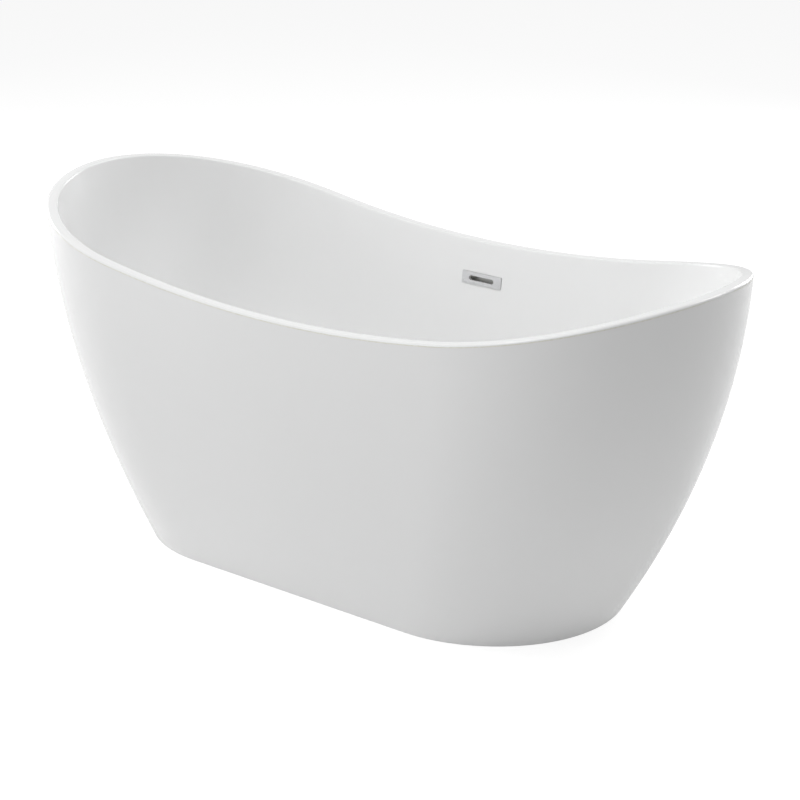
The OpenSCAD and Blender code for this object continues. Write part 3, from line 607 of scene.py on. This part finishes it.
def backRing(s):
    return [wallPoint(i, s, underside, backRimLine, z - basin["rimThickness"])
            for i, z in enumerate(rimHeights)]


def drainRing(radius, height):
    turns = [atan2(p.y, p.x) for p in floorLine]
    return [Vector((radius * cos(turn), radius * sin(turn), height)) for turn in turns]


def rimRing(distance, drop):
    return inset([Vector((p.x, p.y, z - drop)) for p, z in zip(rimLine, rimHeights)], distance)


def floorRing(share, z, rise):
    centre = drainRing(basin["level"], 0)
    smooth = share * share * (3 - 2 * share)
    return [Vector((c.x + (f.x - c.x) * share, c.y + (f.y - c.y) * share, z + rise * smooth))
            for c, f in zip(centre, floorLine)]


def basinRings():
    floor, seat, hole = basin["floor"], basin["drainSeat"], basin["drainHole"]
    seatZ = floor - basin["seatDepth"]
    soft = basin["seatEase"]
    rings = [drainRing(hole, underside), drainRing(hole, seatZ - soft), drainRing(hole + soft, seatZ),
             drainRing(seat - soft, seatZ), drainRing(seat, seatZ + soft),
             drainRing(seat, floor - 2 * soft), drainRing(seat + soft / 2, floor - soft / 2),
             drainRing(seat + 2 * soft, floor), drainRing(basin["level"], floor)]
    floorSteps = basin["floorSteps"]
    rings += [floorRing(k / floorSteps, floor, basin["fall"]) for k in range(1, floorSteps + 1)]
    rings += [wallRing(k / basin["wallSteps"]) for k in range(1, basin["wallSteps"] + 1)]
    turns = [pi / 2 * k / basin["roundSteps"] for k in range(1, basin["roundSteps"] + 1)]
    inner, outer = basin["innerRound"], basin["outerRound"]
    rings += [rimRing(basin["rimWidth"] - inner * (1 - cos(turn)), inner * (1 - sin(turn)))
              for turn in turns]
    rings += [rimRing(outer * (1 - cos(turn)), outer * (1 - sin(turn))) for turn in reversed(turns)]
    rings.append(outsideRing([z - outer for z in rimHeights]))
    rings.append(outsideRing([z - basin["rimThickness"] for z in rimHeights]))
    rings += [backRing(k / basin["backSteps"]) for k in range(basin["backSteps"], -1, -1)]
    rings += [floorRing(k / 4, underside, 0) for k in range(3, -1, -1)]
    rings.append(drainRing(hole, underside))
    return rings


overflow = {
    "height": 0.490, "plate": (0.096, 0.024), "plateThickness": 0.0032, "face": 0.001, "rim": 0.003,
    "corner": 0.0012, "edge": 0.00035, "slot": (0.060, 0.009), "wallSlot": (0.062, 0.012),
    "screwX": 0.038, "screwHole": 0.00215, "seatDepth": 0.002, "sunk": 0.001, "seatGap": 0.0003,
    "padBack": 0.006, "padMargin": (0.004, 0.012), "padCorner": 0.004,
}


def overflowPlace():  # on the inner wall in the middle of the far side, square to its slope
    side = quarterSteps
    low, high = 0.0, 1.0
    for _ in range(40):  # halving finds the wall's own measure at the height wanted
        middle = (low + high) / 2
        above = insidePoint(side, middle).z > overflow["height"]
        low, high = (low, middle) if above else (middle, high)
    step = 0.012
    rise = insidePoint(side, low + step) - insidePoint(side, low - step)
    lean = atan2(rise.y, rise.z)
    return Matrix.Translation(insidePoint(side, low)) @ Matrix.Rotation(pi / 2 - lean, 4, "X")


overflowAt = overflowPlace()


def atOverflow(bm):
    bmesh.ops.transform(bm, matrix=overflowAt, verts=bm.verts)
    return bm


def stadium(size, low, high):  # a slab with round ends
    return slab(size[0], size[1], size[1] / 2 - 0.00002, low, high)


def makeBasin():
    bm = lofted(basinRings())  # then a thicker pad, the plate's seat, the slot and two screw holes
    length, height = overflow["plate"]
    seat = overflow["seatDepth"]
    margin, gap = overflow["padMargin"], overflow["seatGap"]
    pad = slab(length + margin[0], height + margin[1], overflow["padCorner"], -overflow["padBack"],
               -seat - 0.001)
    bm = carved(bm, atOverflow(pad), "UNION")
    pocket = slab(length + 2 * gap, height + 2 * gap, overflow["corner"] + gap, -seat, 0.004)
    bm = carved(bm, atOverflow(pocket))
    bm = carved(bm, atOverflow(stadium(overflow["wallSlot"], -0.02, 0.01)))
    for x in (-overflow["screwX"], overflow["screwX"]):
        bm = carved(bm, atOverflow(rod(overflow["screwHole"], -0.02, 0.01, (x, 0), 24)))
    rimBelow = basin["rimThickness"] - 0.0005
    for face in bm.faces:
        if face.normal.z < -0.02 and face.calc_center_median().z < max(rimHeights) - rimBelow:
            face.material_index = 1  # the rough back
    return piece("basinShell", bm, [finishes["white_acrylic"], backing], "tub", "white_acrylic", "basin")


basinShell = makeBasin()
print("basin:", len(basinShell.data.polygons), "faces")

skirt = {
    "wall": 0.004, "flangeWidth": 0.035, "flangeThickness": 0.005, "footRound": 0.0015,
    "steps": 48, "backSteps": 24,
}


def makeSkirt():
    thickness, foot = skirt["flangeThickness"], skirt["footRound"]
    steps, backSteps = skirt["steps"], skirt["backSteps"]
    tops = [z - basin["rimThickness"] for z in rimHeights]
    ground = outsideRing([0] * ringSteps)
    rings = [inset(ground, skirt["flangeWidth"]), inset(ground, foot)]
    for k in (1, 2):
        turn = pi / 6 * k
        rings.append(inset(outsideRing([foot * (1 - cos(turn))] * ringSteps), foot * (1 - sin(turn))))
    rings += [outsideRing([foot + (z - foot) * k / steps for z in tops]) for k in range(steps + 1)]
    for k in range(backSteps, -1, -1):
        heights = [thickness + (z - thickness) * k / backSteps for z in tops]
        rings.append(inset(outsideRing(heights), skirt["wall"]))
    rings += [inset(outsideRing([thickness] * ringSteps), skirt["flangeWidth"]), rings[0]]
    bm = lofted(rings)
    for face in bm.faces:
        outwards = face.calc_center_median().xy.dot(face.normal.xy)
        if outwards < 0 or abs(face.normal.z) > 0.9:
            face.material_index = 1
    return piece("outerSkirt", bm, [finishes["white_acrylic"], backing], "tub", "white_acrylic", "skirt")


outerSkirt = makeSkirt()
print("skirt:", len(outerSkirt.data.polygons), "faces")


def makePlate():
    length, height = overflow["plate"]
    low, rim = -overflow["sunk"], overflow["rim"]
    top = low + overflow["plateThickness"]
    corner = overflow["corner"]
    bm = slab(length, height, corner, low, top)
    hollow = slab(length - 2 * rim, height - 2 * rim, corner, low - 0.001, top - overflow["face"])
    bm = carved(bm, hollow)
    bm = carved(bm, stadium(overflow["slot"], low - 0.001, top + 0.001))
    bmesh.ops.dissolve_limit(bm, angle_limit=radians(0.5), verts=bm.verts, edges=bm.edges)
    roundEdges(bm, overflow["edge"], 3)
    return piece("overflowCover", atOverflow(bm), satinChrome, "tub", "polished_chrome",
                 "overflow_plate")


makePlate()

stopper = {
    "edge": 0.002, "edgeSteps": 6, "dome": 0.0015, "domeSteps": 12,
    "socket": 0.006, "socketDepth": 0.003, "sealBore": 0.006, "sealLip": 0.0012,
}
turnSteps = 128  # round the largest turned pieces


def makeCap():
    low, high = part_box("stopper_cap")
    radius, foot, top = high.x, low.z, high.z
    edge, dome, socket, depth = (stopper[key] for key in ("edge", "dome", "socket", "socketDepth"))
    profile = [(0, foot + depth), (socket, foot + depth), (socket, foot), (radius - 0.001, foot),
               (radius, foot + 0.001)]
    for k in range(stopper["edgeSteps"] + 1):
        turn = pi / 2 * k / stopper["edgeSteps"]
        profile.append((radius - edge * (1 - cos(turn)), top - dome - edge * (1 - sin(turn))))
    for k in range(stopper["domeSteps"] - 1, -1, -1):
        share = k / stopper["domeSteps"]
        profile.append((share * (radius - edge), top - dome * share * share))
    return piece("stopperCap", turned(profile, turnSteps), finishes["polished_chrome"], "stopper",
                 "polished_chrome", "stopper_cap")


def makeSeal():
    low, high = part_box("stopper_seal")
    bore, lip = stopper["sealBore"], stopper["sealLip"]
    profile = [(bore, low.z), (high.x - 0.004, low.z), (high.x - lip / 3, low.z + lip / 2),
               (high.x, low.z + lip), (high.x - 0.0006, high.z - 0.0008), (high.x - 0.002, high.z),
               (bore, high.z)]
    return piece("stopperSeal", turned(profile), finishes["black_rubber"], "stopper", "black_rubber",
                 "stopper_seal")


makeCap()
makeSeal()

fit = 0.00005  # clearance between two threads
flange = {
    "barrel": 0.0235, "bore": 0.020, "radius": 0.0355, "thickness": 0.0035, "chamfer": 0.003,
    "crossbar": (0.003, 0.006), "barsAt": 0.0882, "barCorner": 0.0008, "hub": 0.0075, "hubBore": 0.00405,
}
spring = {"radius": 0.0046, "wire": 0.0006, "turns": 5, "turnSteps": 40, "foot": 0.0982, "shut": 8 / 18}
tee = {
    "wall": 0.004, "bore": 0.018, "thread": 0.02305, "portBoss": 0.013, "portAt": 0.0562,
    "portReach": 0.0355, "spigot": 0.008, "spigotBore": 0.0065, "spigotLength": 0.022,
}
tail = {
    "radius": 0.01905, "bore": 0.01755, "lip": 0.02205, "lipHeight": 0.0025, "neck": 0.0003,
    "nutWall": 0.005, "ribs": 12, "rib": (0.0045, 0.004), "ribCorner": 0.0012,
}


def makeFlange():
    low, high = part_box("drain_flange")
    barrel, bore, radius = flange["barrel"], flange["bore"], flange["radius"]
    under = high.z - flange["thickness"]
    profile = [(bore, low.z, 0.0005), (barrel, low.z, 0.0008), (barrel, under, 0.0006),
               (radius, under, 0.0004), (radius, under + 0.001, 0.0006),
               (radius - flange["chamfer"], high.z, 0.0012), (bore + 0.002, high.z, 0.0008),
               (bore, high.z - 0.002, 0.0008)]
    bm = turned(rounded(profile), turnSteps)
    thickness, height = flange["crossbar"]
    foot = flange["barsAt"]
    for angle in (0, 60, 120):
        bar = slab(2 * bore + 0.002, thickness, flange["barCorner"], foot, foot + height)
        bm = carved(bm, rotated(roundEdges(bar, 0.0005), angle, "Z"), "UNION")
    bm = carved(bm, ring(flange["hub"], 0.001, foot - 0.0001, foot + height + 0.0001), "UNION")
    bm = carved(bm, rod(flange["hubBore"], foot - 0.001, foot + height + 0.001))
    return piece("drainFlange", bm, finishes["polished_chrome"], "tub", "polished_chrome",
                 "drain_flange")


def makeSpring():
    low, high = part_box("stopper_spring")
    wire, turns = spring["wire"], spring["turns"]
    rise = high.z - low.z - 2 * wire
    steps = turns * spring["turnSteps"]
    bm = bmesh.new()
    bmesh.ops.create_circle(bm, segments=12, radius=wire, cap_ends=True)
    rotated(bm, 90)
    moved(bm, spring["radius"], 0, low.z + wire)
    bmesh.ops.spin(bm, geom=bm.faces[:], cent=(0, 0, 0), axis=(0, 0, 1), dvec=(0, 0, rise / steps),
                   angle=2 * pi * turns, steps=steps)
    bmesh.ops.recalc_face_normals(bm, faces=bm.faces)
    made = piece("returnSpring", bm, finishes["stainless_steel"], "tub", "stainless_steel",
                 "stopper_spring")
    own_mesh(made)


def makeDrainNut():
    low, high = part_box("drain_nut")
    bm = hexNut(high.x, flange["barrel"] + fit, low.z, high.z)
    return piece("lockNut", bm, finishes["plated_brass"], "tub", "plated_brass", "drain_nut")


def makeTee():
    low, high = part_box("waste_tee")
    body, thread, boss = flange["barrel"] + tee["wall"], tee["thread"], tee["portBoss"]
    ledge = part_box("waste_tee_seal")[0].z
    shoulder = tee["portAt"] - boss - 0.002
    mouth = flange["barrel"] + fit
    outside = [(0, low.z, 0), (thread, low.z, 0.0008), (thread, shoulder, 0.001),
               (body, shoulder, 0.0016), (body, high.z, 0.001), (0, high.z, 0)]
    bm = turned(rounded(outside), turnSteps)
    reach, spigot = tee["portReach"], tee["spigot"]
    end = reach + tee["spigotLength"]
    port = turned(rounded([(0, 0, 0), (boss, 0, 0), (boss, reach, 0.001), (spigot, reach, 0.0008),
                           (spigot - 0.0004, end, 0.0006), (0, end, 0)]), 64)
    bm = carved(bm, moved(rotated(port, -90), z=tee["portAt"]), "UNION")
    bm = carved(bm, turned([(0, low.z - 0.001), (tee["bore"], low.z - 0.001), (tee["bore"], ledge),
                            (mouth, ledge), (mouth, high.z + 0.001), (0, high.z + 0.001)]))
    bore = rotated(rod(tee["spigotBore"], 0.010, reach + 0.03), -90)
    bm = carved(bm, moved(bore, z=tee["portAt"]))
    return piece("wasteTee", bm, finishes["waste_plastic"], "tub", "waste_plastic", "waste_tee")


def makeTail():
    low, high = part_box("tailpiece")
    radius, bore, lip = tail["radius"], tail["bore"], tail["lip"]
    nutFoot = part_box("tail_nut")[0].z
    under = high.z - tail["lipHeight"]
    neck = radius - tail["neck"]
    profile = [(bore, low.z, 0.0004), (radius, low.z, 0.0006), (radius, nutFoot - 0.0006, 0.0002),
               (neck, nutFoot - 0.0003, 0.0002), (neck, under, 0.0004), (lip, under, 0.0005),
               (lip, high.z, 0.0005), (bore, high.z, 0.0008)]
    return piece("outletPipe", turned(rounded(profile)), finishes["plated_brass"], "tub", "plated_brass",
                 "tailpiece")


def makeTailNut():
    low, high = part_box("tail_nut")
    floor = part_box("tailpiece")[1].z - tail["lipHeight"]
    outer = tee["thread"] + tail["nutWall"]
    small, large = tail["radius"] + fit, tee["thread"] + fit
    profile = [(small, low.z, 0.0004), (outer, low.z, 0.0015), (outer, high.z, 0.001),
               (large, high.z, 0.0006), (large, floor, 0), (small, floor, 0)]
    bm = turned(rounded(profile))
    for k in range(tail["ribs"]):
        rib = slab(*tail["rib"], tail["ribCorner"], low.z + 0.0012, high.z - 0.0008)
        rib = moved(roundEdges(rib, 0.0007, 3), outer - 0.00025)
        bm = carved(bm, rotated(rib, 360 * k / tail["ribs"], "Z"), "UNION")
    return piece("slipNut", bm, finishes["waste_plastic"], "tub", "waste_plastic", "tail_nut")


makeFlange()
makeSpring()
makeDrainNut()
makeTee()
makeTail()
makeTailNut()
print("drain and waste made")

hose = {  # the overflow hose and its clips lie in the plane x = 0
    "outer": 0.010, "bore": 0.0082, "rib": 0.0045, "ribDepth": 0.0013, "cuff": 0.024, "sides": 32,
    "perRib": 6, "ductDown": 0.166, "depth": 0.01175, "spigot": 0.022, "gap": 0.002,
    "pull": (0.62, 0.66), "pathSteps": 60,
    "clip": 0.009, "clipInset": 0.006, "band": 0.0014,
}


def hosePath():
    port = Vector((0, tee["portReach"] + hose["gap"], tee["portAt"]))
    spigot, pull = hose["spigot"], hose["pull"]
    top = overflowAt @ Vector((0, -hose["ductDown"], -hose["depth"]))
    down = -(overflowAt.to_3x3() @ Vector((0, 1, 0)))
    turn, end = top + down * spigot, port + Vector((0, spigot, 0))
    steer = down * pull[0] * (turn.z - port.z), Vector((0, pull[1] * (turn.y - end.y), 0))
    steps = hose["pathSteps"]
    bend = [bezier(k / steps, turn, turn + steer[0], end + steer[1], end) for k in range(steps + 1)]
    return [top] + bend + [port]


def evenly(path, step):  # points at equal distances along the path, with the distance of each
    lengths = [0.0]
    for a, b in zip(path, path[1:]):
        lengths.append(lengths[-1] + (b - a).length)
    count = round(lengths[-1] / step)
    points, i = [], 0
    for k in range(count + 1):
        at = lengths[-1] * k / count
        while i < len(path) - 2 and lengths[i + 1] < at:
            i += 1
        share = (at - lengths[i]) / (lengths[i + 1] - lengths[i])
        points.append((path[i].lerp(path[i + 1], share), at))
    return points, lengths[-1]


def hoseRing(points, k, radius):  # a circle square to the path
    along = (points[min(k + 1, len(points) - 1)][0] - points[max(k - 1, 0)][0]).normalized()
    across = Vector((0, -along.z, along.y))
    turns = [2 * pi * j / hose["sides"] for j in range(hose["sides"])]
    return [points[k][0] + Vector((radius * cos(a), 0, 0)) + across * (radius * sin(a)) for a in turns]


def makeHose():
    points, length = evenly(hosePath(), hose["rib"] / hose["perRib"])
    ribs = round((length - 2 * hose["cuff"]) / hose["rib"])
    rings = []
    for k, (_, at) in enumerate(points):
        inside = min(max((at - hose["cuff"]) / (length - 2 * hose["cuff"]), 0), 1)
        groove = 0.5 - 0.5 * cos(2 * pi * ribs * inside)
        rings.append(hoseRing(points, k, hose["outer"] - hose["ribDepth"] * groove))
    rings += [hoseRing(points, k, hose["bore"]) for k in range(len(points) - 1, -1, -1)]
    rings.append(rings[0])
    return piece("ribbedHose", lofted(rings), finishes["hose_vinyl"], "tub", "hose_vinyl",
                 "overflow_hose", crease=60)


def clipShape():  # a worm-drive clip round the z axis, its housing towards +Y
    radius, band, width = hose["outer"] + fit, hose["band"], hose["clip"]
    parts = [ring(radius + band, radius, 0, width, 0.0004, 64)]
    housing = moved(slab(0.0072, 0.0016, 0.0003, 0.0006, width - 0.0006), y=radius + band + 0.0004)
    parts.append(roundEdges(housing, 0.0004))
    for k in range(7):
        notch = slab(0.0006, 0.0005, 0.00005, 0.002, width - 0.002)
        parts.append(rotated(moved(notch, y=radius + band - 0.0001), 150 + 10 * k, "Z"))
    return merged(*parts)


def makeClips():
    top = rotated(clipShape(), 90)
    atOverflow(moved(top, y=-hose["ductDown"] - hose["clipInset"], z=-hose["depth"]))
    piece("upperClip", top, finishes["stainless_steel"], "tub", "stainless_steel", "hose_clip_top")
    bottom = rotated(rotated(clipShape(), 90), 180, "Y")
    moved(bottom, y=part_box("hose_clip_bottom")[1].y, z=tee["portAt"])
    piece("lowerClip", bottom, finishes["stainless_steel"], "tub", "stainless_steel", "hose_clip_bottom")


makeHose()
makeClips()
print("overflow hose made")

feet = {
    "thread": (0.006, 0.00055), "pitch": 0.00175, "hub": 0.012, "socket": 0.00605, "socketFloor": 0.0077,
    "nutSize": 1.9, "hexSize": 1.6, "hexAt": 0.0203, "hexHeight": 0.008, "padEase": 0.0012,
}


def footAt(number):
    low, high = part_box(f"foot_pad_{number}")
    return (low + high) / 2


def studShape():
    low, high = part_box("foot_stud_1")
    crest, depth = feet["thread"]
    hexagon = hexNut(crest * feet["hexSize"], 0, feet["hexAt"], feet["hexAt"] + feet["hexHeight"])
    return merged(threadedRod(crest, depth, feet["pitch"], low.z, high.z), hexagon)


def makeStud(number, shape):
    at = footAt(number)
    bm = moved(shape.copy(), at.x, at.y)
    return piece(f"footStud{number}", bm, finishes["zinc_plated_steel"], f"stud_{number}",
                 "zinc_plated_steel", f"foot_stud_{number}")


def makePad(number):
    low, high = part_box(f"foot_pad_{number}")
    at, ease = footAt(number), feet["padEase"]
    radius = (high.x - low.x) / 2
    hub, socket, deep = feet["hub"], feet["socket"], feet["socketFloor"]
    profile = [(0, 0.0, 0), (radius - 0.001, 0.0, 0.0006), (radius, 0.001, 0.0008),
               (radius, 0.006, ease), (radius - 0.003, 0.009, 0.002), (hub, 0.011, 0.003),
               (hub, high.z, ease), (socket, high.z, 0.0006), (socket, deep, 0.0003), (0, deep, 0)]
    bm = turned(rounded(profile), 72)
    return piece(f"footPad{number}", moved(bm, at.x, at.y), finishes["foot_nylon"], f"foot_{number}",
                 "foot_nylon", f"foot_pad_{number}")


def makeFootNuts(node, name):
    low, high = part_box(node)
    crest = feet["thread"][0]
    nuts = []
    for number in range(1, 5):
        at = footAt(number)
        nut = hexNut(crest * feet["nutSize"], crest + fit, low.z, high.z)
        nuts.append(moved(nut, at.x, at.y))
    return piece(name, merged(*nuts), finishes["zinc_plated_steel"], "tub", "zinc_plated_steel", node)


stud = studShape()
for number in range(1, 5):
    makeStud(number, stud)
    makePad(number)
makeFootNuts("foot_weld_nuts", "weldNuts")
makeFootNuts("foot_lock_nuts", "jamNuts")
print("feet made")

# The other nodes keep their own shape and get their finish, with a touch off every edge
softening = {"width": 0.0004, "frameWidth": 0.002}
slotOf = {part["node"]: part["material_slot"] for part in frame["record"]["subparts"]}


def finishNodes():  # the weld joins the loose triangles, the rest softens the shape
    for name, node in frame["nodes"].items():
        if node.hide_render:
            continue
        node.data.materials.clear()
        node.data.materials.append(finishes[slotOf[name]])
        weld = node.modifiers.new("weld", "WELD")
        weld.merge_threshold = 0.00001
        flat = node.modifiers.new("flat", "DECIMATE")
        flat.decimate_type, flat.angle_limit = "DISSOLVE", radians(1)
        soft = node.modifiers.new("soft", "BEVEL")
        soft.width = softening["frameWidth"] if slotOf[name] == "frame_steel" else softening["width"]
        soft.segments, soft.limit_method, soft.angle_limit = 2, "ANGLE", radians(35)
        evenShading(node)


finishNodes()
print("nodes finished")

studio = {
    "skyLight": 0.25, "skyShown": 1.0, "skyShine": 0.6,
    "floorSize": 30, "floorShown": 0.86, "floorShade": 0.24, "floorGlow": 0.27, "floorBounce": 0.6,
    "aim": (0, 0, 0.4), "distance": 4.0, "lightSize": 1.5,
    "lights": {  # turn from +X, rise and watts
        "left": (180, 15, 66),
        "lowFront": (240, 15, 23),
        "highLeft": (240, 65, 51),
        "highFront": (300, 65, 34),
        "rearRight": (60, 40, 43),
        "rear": (90, 15, 49),
    },
}


def makeWorld():  # a dim sky for lighting, brighter in reflections and white behind the tub
    world = bpy.data.worlds.new("studio")
    scene.world = world
    world.use_nodes = True
    tree = world.node_tree
    rays = tree.nodes.new("ShaderNodeLightPath")
    strength = studio["skyLight"]
    for kind, shown in (("Is Camera Ray", studio["skyShown"]), ("Is Glossy Ray", studio["skyShine"])):
        step = tree.nodes.new("ShaderNodeMix")
        tree.links.new(rays.outputs[kind], step.inputs[0])
        if isinstance(strength, float):
            step.inputs[2].default_value = strength
        else:
            tree.links.new(strength, step.inputs[2])
        step.inputs[3].default_value = shown
        strength = step.outputs[0]
    background = tree.nodes["Background"]
    background.inputs["Color"].default_value = rgb(1, 1, 1)
    tree.links.new(strength, background.inputs["Strength"])


def makeFloor():
    bm = bmesh.new()
    bmesh.ops.create_grid(bm, x_segments=1, y_segments=1, size=studio["floorSize"] / 2)
    mesh = bpy.data.meshes.new("floor")
    bm.to_mesh(mesh)
    bm.free()
    floor = bpy.data.objects.new("floor", mesh)
    scene.collection.objects.link(floor)
    material = bpy.data.materials.new("paleFloor")
    material.use_nodes = True
    tree = material.node_tree
    tree.nodes.remove(tree.nodes["Principled BSDF"])

    def glowing(glow, colour):
        kinds = ("Emission", "BsdfDiffuse", "AddShader")
        light, matt, both = [tree.nodes.new("ShaderNode" + kind) for kind in kinds]
        light.inputs["Strength"].default_value = glow
        light.inputs["Color"].default_value = rgb(1, 1, 1)
        matt.inputs["Color"].default_value = rgb(colour, colour, colour)
        tree.links.new(light.outputs[0], both.inputs[0])
        tree.links.new(matt.outputs[0], both.inputs[1])
        return both.outputs[0]

    pick = tree.nodes.new("ShaderNodeMixShader")
    tree.links.new(tree.nodes.new("ShaderNodeLightPath").outputs["Is Camera Ray"], pick.inputs[0])
    tree.links.new(glowing(studio["floorGlow"], studio["floorBounce"]), pick.inputs[1])
    tree.links.new(glowing(studio["floorShown"], studio["floorShade"]), pick.inputs[2])
    tree.links.new(pick.outputs[0], tree.nodes["Material Output"].inputs["Surface"])
    mesh.materials.append(material)


def makeLights():
    aim = Vector(studio["aim"])
    for name, (turn, rise, watts) in studio["lights"].items():
        turn, rise = radians(turn), radians(rise)
        away = Vector((cos(turn) * cos(rise), sin(turn) * cos(rise), sin(rise)))
        data = bpy.data.lights.new(name, "AREA")
        data.shape = "SQUARE"
        data.size = studio["lightSize"]
        data.energy = watts
        made = bpy.data.objects.new(name, data)
        made.location = aim + away * studio["distance"]
        made.rotation_euler = away.to_track_quat("Z", "Y").to_euler()
        scene.collection.objects.link(made)


makeWorld()
makeFloor()
makeLights()
scene.view_settings.view_transform = "Standard"
print("studio made")
